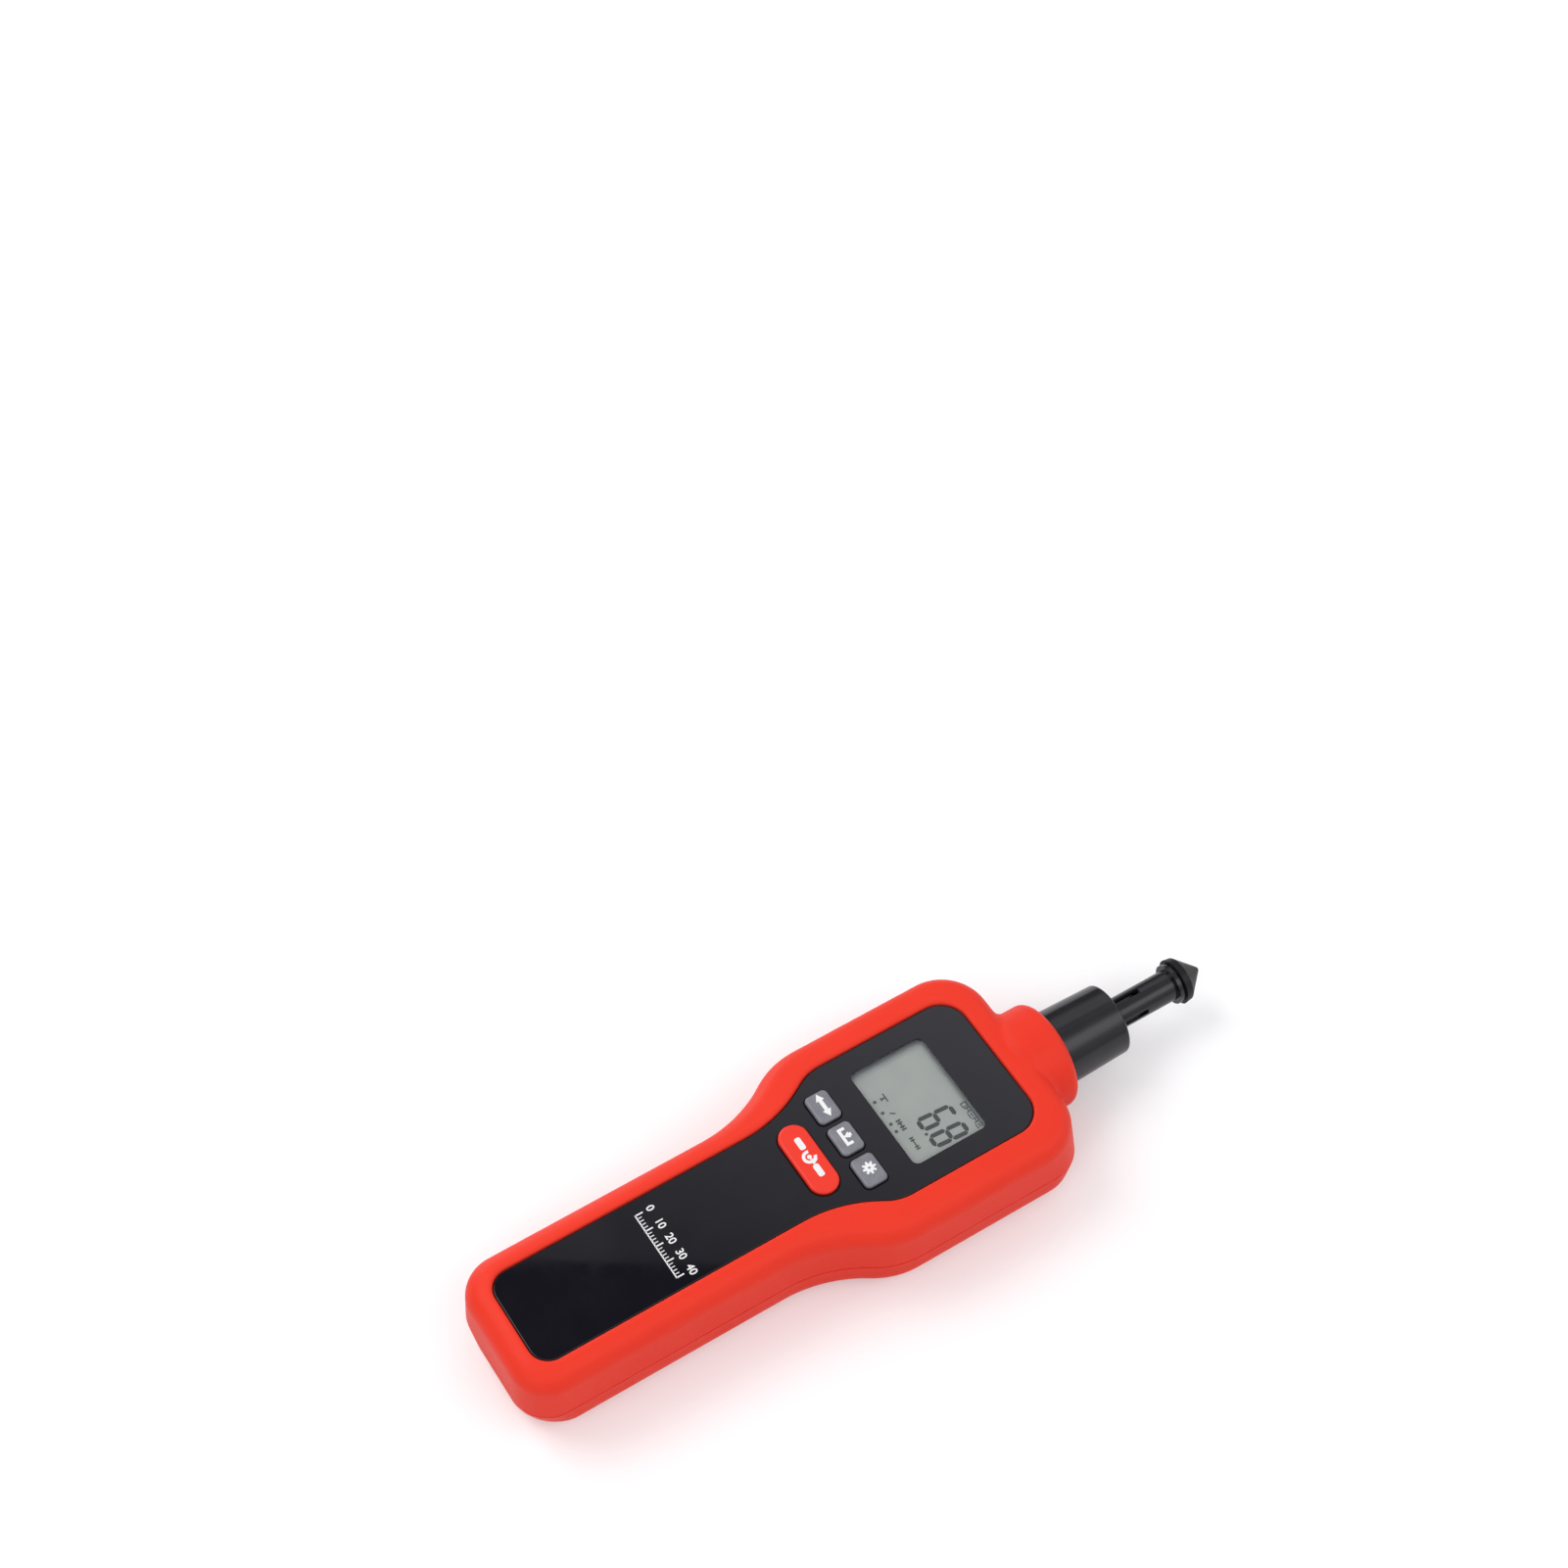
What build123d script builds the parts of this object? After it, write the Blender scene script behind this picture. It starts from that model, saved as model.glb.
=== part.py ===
from build123d import *
from math import atan2, cos, hypot, radians, tan
import os

# Hand-held contact tachometer, lying on its back. Millimetres, +Z up through the display,
# +Y towards the contact tip, +X to the right of someone who reads the display.
# The origin is at the middle of the whole length, on the back's resting plane.

# How far a cut runs past the face that it opens
past = 1.0

# Case, seen from above
body_length = 169.7
handle_width = 44.6
head_width = 66.9
waist_from_head = 80.2
flare_slope = 1.5336
tail_corner = 10.0
head_corner = 11.1
waist_curve_share = 2.398
shoulder_curve_share = 1.456

# Case, seen from the end
plate_height = 29.2
rim_rise = 0.8
crest_in = 1.7
crest_drop = 1.2
crest_curve = 2.5
rim_curve = 0.9
side_draft = 1.3
side_curve = 5.9
top_tail_ease = 2.0
top_head_ease = 4.9
seam_height = 13.1
seam_groove = 0.25
back_draft = 4.0
back_curve = 8.4
back_tail_ease = 8.9
back_head_ease = 3.0
wall = 2.2
lip_height = 1.4
lip_clearance = 0.12

# Front plate and its recess
tail_rim = 7.4
handle_rim = 7.6
head_side_rim = 10.2
head_end_rim = 9.7
plate_waist_lag_share = 0.538
plate_shoulder_lag_share = 0.374
plate_tail_corner = 5.7
plate_head_corner = 8.0
plate_waist_curve_share = 2.398
plate_shoulder_curve_share = 0.819
plate_thickness = 1.6
plate_edge = 0.25
plate_gap = 0.3
deck_thickness = 2.0

# Window and display
window_side = 6.5
window_length = 23.6
window_corner = 2.0
window_from_head = 26.0
lens_margin = 4.6
lens_thickness = 1.0
lens_gap = 0.05
glass_side = 3.25
glass_end = 3.2
glass_thickness = 2.2
glass_gap = 0.1
glass_side_gap = 0.3
glass_room_corner = 1.0
zebra_width = 2.0
zebra_inset = 0.3
zebra_end = 2.0
backlight_depth = 5.3
backlight_gap = 0.5

# Keys
small_key_share = 0.145
small_key_length = 7.2
small_key_corner = 1.6
small_key_between = 1.8
key_row_back = 23.4
long_key_width = 23.6
long_key_length = 8.8
long_key_back = 12.0
key_rise = 1.3
key_gap = 0.35
key_edge = 0.9
key_flange = 0.7
key_flange_thickness = 0.8
key_stop_gap = 0.1
key_travel = 0.5

# Circuit board and what it carries
board_thickness = 1.6
board_side = 11.45
board_neck_side = 4.8
board_tongue_width = 20.0
board_gap = 0.6
board_post_gap = 1.2
board_shoulder_lag = 3.4
board_head_in = 14.6
board_corner = 2.0
switch_size = 6.0
switch_height = 3.1
plunger_radius = 1.75
plunger_bore_gap = 0.08
plunger_depth = 0.9
plunger_rise = 0.9
chip_size = 10.0
chip_thickness = 1.4
can_length = 10.0
can_width = 3.8
can_height = 3.4
can_back = 9.0

# Nose: boss, sleeve, bearings, spindle
axis_height = 15.3
boss_radius = 15.7
boss_length = 9.5
boss_back = 7.3
boss_front_curve = 3.0
boss_back_curve = 6.0
boss_blend = 2.6
sleeve_root_radius = 11.2
sleeve_end_radius = 10.6
sleeve_reach = 20.6
sleeve_edge = 1.0
sleeve_fit = 0.1
sleeve_flange_radius = 12.1
sleeve_flange_thickness = 2.0
sleeve_tail = 1.8
sleeve_lip = 1.5
sleeve_lip_gap = 0.6
saddle_thickness = 1.5
saddle_margin = 3.0
bearing_outer = 16.0
bearing_bore = 5.0
bearing_width = 5.0
bearing_split = 10.6
bearing_gap = 0.08
bearing_fit = 0.02
front_bearing_in = 0.2
bearing_pitch = 12.0
spacer_wall = 1.2
shaft_shoulder = 0.5
shoulder_drop = 0.8
hub_radius = 7.0
hub_gap = 0.4
socket_depth = 11.0
socket_gap = 0.05
clip_thickness = 0.6
clip_radius = 4.2
clip_groove_radius = 2.0
clip_fit = 0.05

# Slotted disc and its light barrier
disc_radius = 8.0
disc_thickness = 0.6
disc_slots = 18
disc_slot_width = 0.9
disc_slot_inner = 5.4
disc_slot_outer = 7.2
disc_hub_radius = 3.6
disc_end = 1.0
sensor_width = 9.0
sensor_length = 6.0
sensor_height = 6.4
sensor_slot = 2.6
sensor_floor = 2.0
sensor_gap = 0.5
disc_to_sensor = 0.7
sensor_board_width = 20.0
sensor_board_thickness = 1.2
rail_width = 1.6
rail_side = 7.0
rail_front_in = 1.5
header_pins = 4
header_pitch = 2.54
header_pin = 0.64
header_edge = 2.1
header_strip = 2.5
header_end = 0.5

# Contact adapter and its cone
stem_radius = 4.65
stem_bore = 3.3
stem_reach = 20.9
stem_clearance = 0.5
stem_slots = 4
stem_slot_width = 1.7
stem_slot_reach = 10.5
stem_slot_turn = -12.0
collar_radius = 6.05
collar_length = 1.2
neck_radius = 5.3
neck_length = 0.65
cone_back_radius = 6.9
cone_front_radius = 6.6
cone_band = 2.1
cone_length = 6.25
cone_nose_radius = 0.6
cone_nose_curve = 0.4
spigot_radius = 3.4
spigot_length = 3.2
spigot_fit = 0.02
spigot_end_gap = 0.1

# Battery, its compartment and cover
battery_width = 26.5
battery_length = 46.4
battery_depth = 17.5
battery_corner = 2.0
terminal_height = 2.1
terminal_radius = 3.2
terminal_pitch = 12.7
battery_from_tail = 12.4
battery_gap = 0.4
box_wall = 1.6
contact_width = 5.0
contact_thickness = 0.4
contact_drop = 5.0
contact_lap = 4.5
contact_slot_gap = 0.1
cover_thickness = 1.8
cover_gap = 0.2
cover_rest = 0.1
cover_tongue = 8.0
cover_corner = 2.5
cover_boss_radius = 3.6
cover_boss_height = 3.4
cover_screw_in = 4.0
ledge_thickness = 1.4
ledge_margin = 1.5
hook_width = 5.0
hook_side = 8.0
hook_reach = 1.4
hook_thickness = 1.1
hook_riser = 1.2
hook_gap = 0.3
grip_ribs = 6
grip_pitch = 2.2
grip_width = 14.0
grip_slot = 1.0
grip_depth = 0.4
grip_back = 9.0

# Fasteners
case_screw_radius = 1.3
case_screw_head = 2.5
case_screw_head_height = 1.6
case_screw_length = 14.0
case_screw_sink = 4.0
cover_screw_head = 2.4
cover_screw_head_height = 1.4
cover_screw_length = 8.0
cover_screw_sink = 2.0
screw_clearance = 0.3
screw_fit = 0.02
screw_end_gap = 1.0
head_round_share = 0.35
cross_share = 0.62
cross_width_share = 0.26
cross_depth_share = 0.55
post_radius = 3.1
head_screw_side_in = 6.95
head_screw_back = 11.5
shoulder_screw_back = 47.5
neck_screw_side_in = 7.7
neck_screw_at = 77.5
board_screw_radius = 1.0
board_screw_head = 1.9
board_screw_head_height = 1.2
board_screw_length = 5.6
board_post_radius = 2.2
board_screw_side_in = 3.0
board_screw_neck_in = 3.6
board_screw_head_in = 2.7

# Widths that follow
flare_run = flare_slope * (head_width - handle_width) / 2
waist_at = body_length - waist_from_head
shoulder_at = waist_at + flare_run
window_width = head_width - 2 * (head_side_rim + window_side)
glass_width = window_width + 2 * glass_side
glass_length = window_length + 2 * glass_end
small_key_width = small_key_share * head_width
small_key_pitch = small_key_width + small_key_between
board_width = head_width - 2 * board_side
board_neck_width = handle_width - 2 * board_neck_side
head_screw_side = head_width / 2 - head_screw_side_in
neck_screw_side = handle_width / 2 - neck_screw_side_in
board_screw_side = board_neck_width / 2 - board_screw_side_in

# Heights that follow
plate_bottom = plate_height - plate_thickness
deck_bottom = plate_bottom - deck_thickness
crest_height = plate_height + rim_rise
side_top = crest_height - crest_drop
glass_top = plate_bottom - glass_gap
glass_bottom = glass_top - glass_thickness
board_top = glass_bottom - backlight_depth
board_bottom = board_top - board_thickness
flange_top = deck_bottom - key_stop_gap
flange_bottom = flange_top - key_flange_thickness
switch_top = board_top + switch_height
plunger_top = switch_top + plunger_rise
sensor_bottom = axis_height - disc_radius - disc_to_sensor - sensor_floor
sensor_board_bottom = sensor_bottom - sensor_board_thickness
battery_bottom = cover_thickness + cover_rest + battery_gap
box_top = battery_bottom + battery_depth + battery_gap
hook_bottom = wall + hook_gap
hook_top = hook_bottom + hook_thickness

# Stations along Y that follow
overall_length = (
    body_length + boss_length + sleeve_reach + stem_reach + collar_length + neck_length + cone_band + cone_length
)
tail_y = -overall_length / 2
head_y = tail_y + body_length
boss_front = head_y + boss_length
sleeve_front = boss_front + sleeve_reach
collar_back = sleeve_front + stem_reach
neck_back = collar_back + collar_length
cone_back = neck_back + neck_length
plate_tail = tail_y + tail_rim
plate_head = head_y - head_end_rim
window_y = plate_head - window_from_head
key_row_y = window_y - key_row_back
long_key_y = key_row_y - long_key_back
inner_head = head_y - wall
flange_back = inner_head - sleeve_flange_thickness
saddle_front = flange_back - sleeve_fit
saddle_back = saddle_front - saddle_thickness
sleeve_back = flange_back - sleeve_tail
front_bearing_y = boss_front + front_bearing_in
rear_bearing_y = front_bearing_y - bearing_pitch
shoulder_y = front_bearing_y + bearing_width + bearing_fit
hub_back = shoulder_y + shaft_shoulder
lip_back = sleeve_front - sleeve_lip
hub_front = lip_back - hub_gap
socket_back = hub_front - socket_depth
stem_back = socket_back + stem_clearance
clip_y = rear_bearing_y - bearing_fit - clip_thickness
disc_middle = sleeve_back - sensor_gap - sensor_length / 2
disc_y = disc_middle - disc_thickness / 2
disc_hub_front = clip_y - clip_fit
shaft_back = disc_y - disc_end
neck_screw_y = tail_y + neck_screw_at
battery_y = tail_y + battery_from_tail
box_back = battery_y - battery_gap
box_front = battery_y + battery_length + terminal_height + contact_thickness
board_back = box_front + box_wall + board_gap
board_neck_y = neck_screw_y + post_radius + board_post_gap
board_wide_y = tail_y + shoulder_at + board_shoulder_lag
board_front = head_y - board_head_in
header_y = board_front - header_edge
sensor_board_back = header_y - header_edge
sensor_board_front = disc_middle + sensor_length / 2
cover_back = box_back - box_wall + cover_gap
cover_front = box_front + box_wall + cover_tongue
cover_half = battery_width / 2 + battery_gap + box_wall - cover_gap
cover_screw_y = cover_front - cover_screw_in


class Plan:
    # Waisted outline, the same on both sides: narrow handle, flare, wide head. Corners are
    # given where the straight runs would cross, and each is rounded with its own radius.
    def __init__(self, tail, waist, shoulder, head, handle_half, head_half, curves):
        self.tail = tail
        self.waist = waist
        self.shoulder = shoulder
        self.head = head
        self.handle_half = handle_half
        self.head_half = head_half
        self.curves = curves

    def inset(self, by):
        flare = atan2(self.head_half - self.handle_half, self.shoulder - self.waist)
        shift = by * tan(flare / 2)
        tail_r, waist_r, shoulder_r, head_r = self.curves
        return Plan(
            self.tail + by,
            self.waist + shift,
            self.shoulder + shift,
            self.head - by,
            self.handle_half - by,
            self.head_half - by,
            (tail_r - by, waist_r + by, shoulder_r - by, head_r - by),
        )

    def eased(self, tail_extra, head_extra):
        tail_r, waist_r, shoulder_r, head_r = self.curves
        curves = (tail_r + tail_extra, waist_r, shoulder_r, head_r + head_extra)
        return Plan(self.tail, self.waist, self.shoulder, self.head, self.handle_half, self.head_half, curves)

    def face(self, height):
        near, far = self.handle_half, self.head_half
        corners = [
            (near, self.tail),
            (near, self.waist),
            (far, self.shoulder),
            (far, self.head),
            (-far, self.head),
            (-far, self.shoulder),
            (-near, self.waist),
            (-near, self.tail),
        ]
        radii = list(self.curves) + list(reversed(self.curves))
        outline = FilletPolyline(*corners, radius=radii, close=True)
        return Pos(0, 0, height) * make_face(outline)

    def block(self, bottom, top):
        return extrude(self.face(bottom), amount=top - bottom, dir=(0, 0, 1))


case_plan = Plan(
    tail_y,
    tail_y + waist_at,
    tail_y + shoulder_at,
    head_y,
    handle_width / 2,
    head_width / 2,
    (tail_corner, waist_curve_share * flare_run, shoulder_curve_share * flare_run, head_corner),
)
plate_plan = Plan(
    plate_tail,
    tail_y + waist_at + plate_waist_lag_share * flare_run,
    tail_y + shoulder_at + plate_shoulder_lag_share * flare_run,
    plate_head,
    handle_width / 2 - handle_rim,
    head_width / 2 - head_side_rim,
    (
        plate_tail_corner,
        plate_waist_curve_share * flare_run,
        plate_shoulder_curve_share * flare_run,
        plate_head_corner,
    ),
)


def upper_plan(height):
    # Outline above the seam, where the side wall leans in and its end corners grow rounder
    share = (height - seam_height) / (side_top - seam_height)
    leaned = case_plan.inset((height - seam_height) * tan(radians(side_draft)))
    return leaned.eased(top_tail_ease * share, top_head_ease * share)


def lower_plan(height):
    # The same below the seam, towards the back
    share = (seam_height - height) / seam_height
    leaned = case_plan.inset((seam_height - height) * tan(radians(back_draft)))
    return leaned.eased(back_tail_ease * share, back_head_ease * share)


def block(width, back, front, bottom, top, x=0.0):
    # Plain block, given by its two ends along Y and its two heights
    place = Pos(x, (back + front) / 2, (bottom + top) / 2)
    return place * Box(width, front - back, top - bottom)


def pad(width, length, corner, bottom, top, x=0.0, y=0.0):
    # Upright plate with rounded corners
    outline = Pos(x, y, bottom) * RectangleRounded(width, length, corner)
    return extrude(outline, amount=top - bottom, dir=(0, 0, 1))


def pillar(radius, bottom, top, x=0.0, y=0.0):
    return Pos(x, y, (bottom + top) / 2) * Cylinder(radius, top - bottom)


def rod(radius, back, front):
    # Cylinder on the nose's axis
    middle = Pos(0, (back + front) / 2, axis_height)
    return middle * Rot(90, 0, 0) * Cylinder(radius, front - back)


def turned(profile):
    # Body of revolution on the nose's axis, from (station along Y, radius) points
    points = [(radius, station) for station, radius in profile]
    outline = make_face(Polyline(*points, close=True))
    spun = revolve(outline, axis=Axis.Y, revolution_arc=360)
    return Pos(0, 0, axis_height) * spun


def edges_at(part, height, margin=0.01):
    return part.edges().filter_by_position(Axis.Z, height - margin, height + margin)


def rims_at(part, station, margin=0.01):
    # Round edges at a station along the nose, the widest one last
    rims = part.edges().filter_by(GeomType.CIRCLE)
    return rims.filter_by_position(Axis.Y, station - margin, station + margin).sort_by(SortBy.RADIUS)


def upper_form():
    # Side walls that lean in, a sloping shoulder and a low crest round the plate
    shoulder_line = upper_plan(side_top).face(side_top)
    crest = plate_plan.inset(-crest_in).face(crest_height)
    form = loft([case_plan.face(seam_height), shoulder_line], ruled=True)
    form += loft([shoulder_line, crest], ruled=True)
    form = fillet(edges_at(form, side_top), side_curve)
    return fillet(edges_at(form, crest_height), crest_curve)


def lower_form():
    form = loft([lower_plan(0).face(0), case_plan.face(seam_height)], ruled=True)
    return fillet(edges_at(form, 0), back_curve)


def boss_form(bottom, top):
    # Round boss that carries the sleeve, with its back end sinking into the case
    boss = rod(boss_radius, head_y - boss_back, boss_front)
    boss = fillet(rims_at(boss, boss_front)[-1], boss_front_curve)
    boss = fillet(rims_at(boss, head_y - boss_back)[-1], boss_back_curve)
    return boss & block(2 * boss_radius, head_y - boss_back, boss_front, bottom, top)


def boss_root(form, seam_margin=0.1):
    # The edges along which the boss grows out of the case
    found = []
    for edge in form.edges().filter_by(GeomType.CIRCLE, reverse=True):
        spot = edge.center()
        if spot.Y > head_y + boss_blend or abs(spot.Z - seam_height) < seam_margin or spot.Z < seam_margin:
            continue
        points = [edge.position_at(share) for share in (0.1, 0.5, 0.9)]
        reaches = [hypot(point.X, point.Z - axis_height) for point in points]
        if boss_radius - boss_back_curve / 2 < min(reaches) and max(reaches) < boss_radius + seam_margin:
            found.append(edge)
    return found


def with_boss(case, bottom, top):
    form = case + boss_form(bottom, top)
    return fillet(boss_root(form), boss_blend)


def whole_form():
    front = with_boss(upper_form(), seam_height, axis_height + boss_radius)
    return front + with_boss(lower_form(), 0, seam_height)


def seam_line(bottom, top):
    # Half of the fine groove that runs round the case where the two shells meet
    ring = case_plan.inset(-seam_groove).block(bottom, top) - case_plan.inset(seam_groove).block(bottom, top)
    return ring - rod(boss_radius + boss_blend, head_y - boss_back, boss_front)


def case_screw_places():
    places = []
    for side in (-1, 1):
        places.append((side * head_screw_side, head_y - head_screw_back))
        places.append((side * head_screw_side, head_y - shoulder_screw_back))
        places.append((side * neck_screw_side, neck_screw_y))
    return places


def board_screw_places():
    stations = (board_neck_y + board_screw_neck_in, board_front - board_screw_head_in)
    return [(side * board_screw_side, station) for station in stations for side in (-1, 1)]


def key_places():
    # name of key, centre x, centre y, width, length, corner radius
    long_corner = long_key_length / 2 - 0.01
    return [
        ("measure", 0.0, long_key_y, long_key_width, long_key_length, long_corner),
        ("mode", -small_key_pitch, key_row_y, small_key_width, small_key_length, small_key_corner),
        ("memory", 0.0, key_row_y, small_key_width, small_key_length, small_key_corner),
        ("light", small_key_pitch, key_row_y, small_key_width, small_key_length, small_key_corner),
    ]


def key_openings(bottom, top):
    openings = []
    for name, x, y, width, length, corner in key_places():
        opening = pad(width + 2 * key_gap, length + 2 * key_gap, corner + key_gap, bottom, top, x, y)
        openings.append(opening)
    return openings


def nose_bore():
    # Passage for the sleeve through saddles, end wall and boss, with a groove for its flange
    bore = rod(sleeve_root_radius + sleeve_fit, saddle_back - past, boss_front + past)
    return bore + rod(sleeve_flange_radius + sleeve_fit, saddle_front, inner_head)


def saddle(bottom, top):
    # Rib behind the sleeve's flange
    half = sleeve_root_radius + saddle_margin
    return block(2 * half, saddle_back, saddle_front, bottom, top)


def front_shell(form):
    shell = split(form, bisect_by=Plane.XY.offset(seam_height), keep=Keep.TOP)
    roof = upper_plan(deck_bottom).inset(wall).face(deck_bottom)
    shell -= loft([case_plan.inset(wall).face(seam_height), roof], ruled=True)
    shell -= plate_plan.inset(-plate_gap).block(plate_bottom, crest_height + past)
    shell = fillet(inner_rim_edges(shell), rim_curve)
    shell -= case_plan.inset(wall / 2).block(seam_height, seam_height + lip_height + lip_clearance)
    shell -= seam_line(seam_height, seam_height + seam_groove)
    shell += saddle(seam_height, deck_bottom + 0.5)
    shell -= nose_bore()
    shell -= pad(
        glass_width + 2 * glass_side_gap,
        glass_length + 2 * glass_side_gap,
        glass_room_corner,
        deck_bottom - past,
        plate_bottom + past,
        0,
        window_y,
    )
    for opening in key_openings(deck_bottom - past, plate_bottom + past):
        shell -= opening
    for x, y in case_screw_places():
        pilot_top = case_screw_sink + case_screw_length + screw_end_gap
        shell += pillar(post_radius, seam_height, deck_bottom + 0.5, x, y)
        shell -= pillar(case_screw_radius + screw_fit, seam_height - past, pilot_top, x, y)
    for x, y in board_screw_places():
        pilot_top = board_bottom + board_screw_length + screw_end_gap
        shell += pillar(board_post_radius, board_top, deck_bottom + 0.5, x, y)
        shell -= pillar(board_screw_radius + screw_fit, board_top - past, pilot_top, x, y)
    return shell


def inner_rim_edges(shell):
    # The recess's top edge, all round the front plate
    reach = 0.1
    inside = plate_plan.inset(-plate_gap - reach).block(crest_height - reach, crest_height + reach)
    box = inside.bounding_box()
    found = []
    for edge in edges_at(shell, crest_height):
        spot = edge.center()
        if box.min.X < spot.X < box.max.X and box.min.Y < spot.Y < box.max.Y:
            if inside.is_inside(spot):
                found.append(edge)
    return found


def battery_room():
    return block(battery_width + 2 * battery_gap, box_back, box_front, -past, box_top)


def battery_box():
    # Open-bottomed compartment for the battery, and the ledge that carries the cover's front end
    width = battery_width + 2 * (battery_gap + box_wall)
    under = cover_thickness + cover_rest
    box = block(width, box_back - box_wall, box_front + box_wall, under, box_top + box_wall)
    box += block(width + 2 * ledge_margin, box_front, cover_front + ledge_margin, under, under + ledge_thickness)
    return box & case_plan.inset(wall / 2).block(0, plate_height)


def cover_socket():
    # Post over the cover's screw, hollowed below for the cover's own boss
    room = cover_boss_height + cover_rest
    outer = cover_boss_radius + cover_gap + ledge_thickness
    top = cover_screw_sink + cover_screw_length + screw_end_gap
    post = pillar(outer, cover_thickness + cover_rest, room + ledge_thickness, 0, cover_screw_y)
    return post + pillar(post_radius, room, top + screw_end_gap, 0, cover_screw_y)


def cover_socket_room():
    room = pillar(cover_boss_radius + cover_gap, -past, cover_boss_height + cover_rest, 0, cover_screw_y)
    top = cover_screw_sink + cover_screw_length + screw_end_gap
    return room + pillar(case_screw_radius + screw_fit, -past, top, 0, cover_screw_y)


def hook_places():
    return (-hook_side, hook_side)


def rear_shell(form):
    shell = split(form, bisect_by=Plane.XY.offset(seam_height), keep=Keep.BOTTOM)
    floor = lower_plan(wall).inset(wall).face(wall)
    cavity = loft([floor, case_plan.inset(wall).face(seam_height)], ruled=True)
    shell -= fillet(edges_at(cavity, wall), back_curve - wall)
    lip = case_plan.inset(wall / 2 + lip_clearance).block(seam_height - past, seam_height + lip_height)
    shell += lip - case_plan.inset(wall).block(seam_height - past, seam_height + lip_height)
    shell -= seam_line(seam_height - seam_groove, seam_height)
    shell += saddle(wall, seam_height)
    shell -= nose_bore()
    shell -= cover_outline(cover_gap, cover_thickness + cover_rest)
    shell += battery_box() + cover_socket()
    shell -= battery_room() + cover_socket_room()
    for x in hook_places():
        back = box_back - box_wall
        shell -= block(hook_width + 2 * cover_gap, back, box_back, cover_thickness, hook_top + hook_gap, x)
    for x in contact_places():
        under = board_bottom - contact_thickness - contact_slot_gap
        over = board_bottom + contact_slot_gap
        width = contact_width + 2 * contact_slot_gap
        leaf_back = box_front - contact_thickness - contact_slot_gap
        shell -= block(width, box_front, board_back, under, over, x)
        shell -= block(width, leaf_back, box_front, battery_bottom, over, x)
    for side in (-1, 1):
        front = sensor_board_front - rail_front_in
        shell += block(rail_width, sensor_board_back, front, wall / 2, sensor_board_bottom, side * rail_side)
    for x, y in case_screw_places():
        shell += pillar(post_radius, wall / 2, seam_height, x, y)
        shell -= pillar(case_screw_radius + screw_clearance, -past, seam_height + past, x, y)
        shell -= pillar(case_screw_head + screw_clearance, -past, case_screw_sink, x, y)
    return shell


def cover_outline(gap, top):
    length = cover_front - cover_back + 2 * gap
    middle = (cover_back + cover_front) / 2
    return pad(2 * (cover_half + gap), length, cover_corner + gap, -past, top, 0, middle)


def battery_cover(form):
    cover = form & cover_outline(0, cover_thickness)
    cover += pillar(cover_boss_radius, cover_thickness - 0.5, cover_boss_height, 0, cover_screw_y)
    cover -= pillar(cover_screw_head + screw_clearance, -past, cover_screw_sink, 0, cover_screw_y)
    cover -= pillar(case_screw_radius + screw_clearance, -past, cover_boss_height + past, 0, cover_screw_y)
    for x in hook_places():
        cover += block(hook_width, box_back - hook_riser, box_back, cover_thickness - 0.5, hook_top, x)
        cover += block(hook_width, cover_back - hook_reach, box_back, hook_bottom, hook_top, x)
    for rib in range(grip_ribs):
        back = cover_front - grip_back - rib * grip_pitch
        cover -= block(grip_width, back - grip_slot, back, -past, grip_depth)
    return cover


def front_panel():
    plate = plate_plan.block(plate_bottom, plate_height)
    plate = fillet(edges_at(plate, plate_height), plate_edge)
    plate -= pad(window_width, window_length, window_corner, plate_bottom - past, plate_height + past, 0, window_y)
    plate -= pad(
        window_width + 2 * lens_margin,
        window_length + 2 * lens_margin,
        window_corner,
        plate_bottom - past,
        plate_bottom + lens_thickness + lens_gap,
        0,
        window_y,
    )
    for opening in key_openings(plate_bottom - past, plate_height + past):
        plate -= opening
    return plate


def window_lens():
    margin = 2 * (lens_margin - lens_gap)
    return pad(
        window_width + margin,
        window_length + margin,
        window_corner,
        plate_bottom,
        plate_bottom + lens_thickness,
        0,
        window_y,
    )


def key_cap(x, y, width, length, corner):
    cap = pad(width, length, corner, flange_bottom, plate_height + key_rise, x, y)
    cap = fillet(edges_at(cap, plate_height + key_rise), key_edge)
    flange_width = width + 2 * key_flange
    flange_length = length + 2 * key_flange
    cap += pad(flange_width, flange_length, corner + key_flange, flange_bottom, flange_top, x, y)
    return cap + pillar(plunger_radius, plunger_top, flange_bottom + 0.1, x, y)


def plunger(x, y):
    return pillar(plunger_radius, switch_top - plunger_depth, plunger_top, x, y)


def tact_switch(x, y):
    half = switch_size / 2
    body = block(switch_size, y - half, y + half, board_top, switch_top, x)
    bore_bottom = switch_top - plunger_depth - key_travel - key_stop_gap
    return body - pillar(plunger_radius + plunger_bore_gap, bore_bottom, switch_top + past, x, y)


def lcd_glass():
    half = glass_length / 2
    return block(glass_width, window_y - half, window_y + half, glass_bottom, glass_top)


def zebra_strips():
    away = glass_length / 2 - zebra_inset - zebra_width / 2
    width = glass_width - 2 * zebra_end
    strips = []
    for middle in (window_y - away, window_y + away):
        strip = block(width, middle - zebra_width / 2, middle + zebra_width / 2, board_top, glass_bottom)
        strips.append(strip)
    return strips


def backlight():
    half = glass_length / 2 - zebra_inset - zebra_width - backlight_gap
    return block(glass_width, window_y - half, window_y + half, board_top, glass_bottom)


def board_section(width, back, front):
    # Part of the board's outline, run on under the next wider part by its own corner
    return pad(width, front - back, board_corner, board_bottom, board_top, 0, (back + front) / 2)


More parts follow.
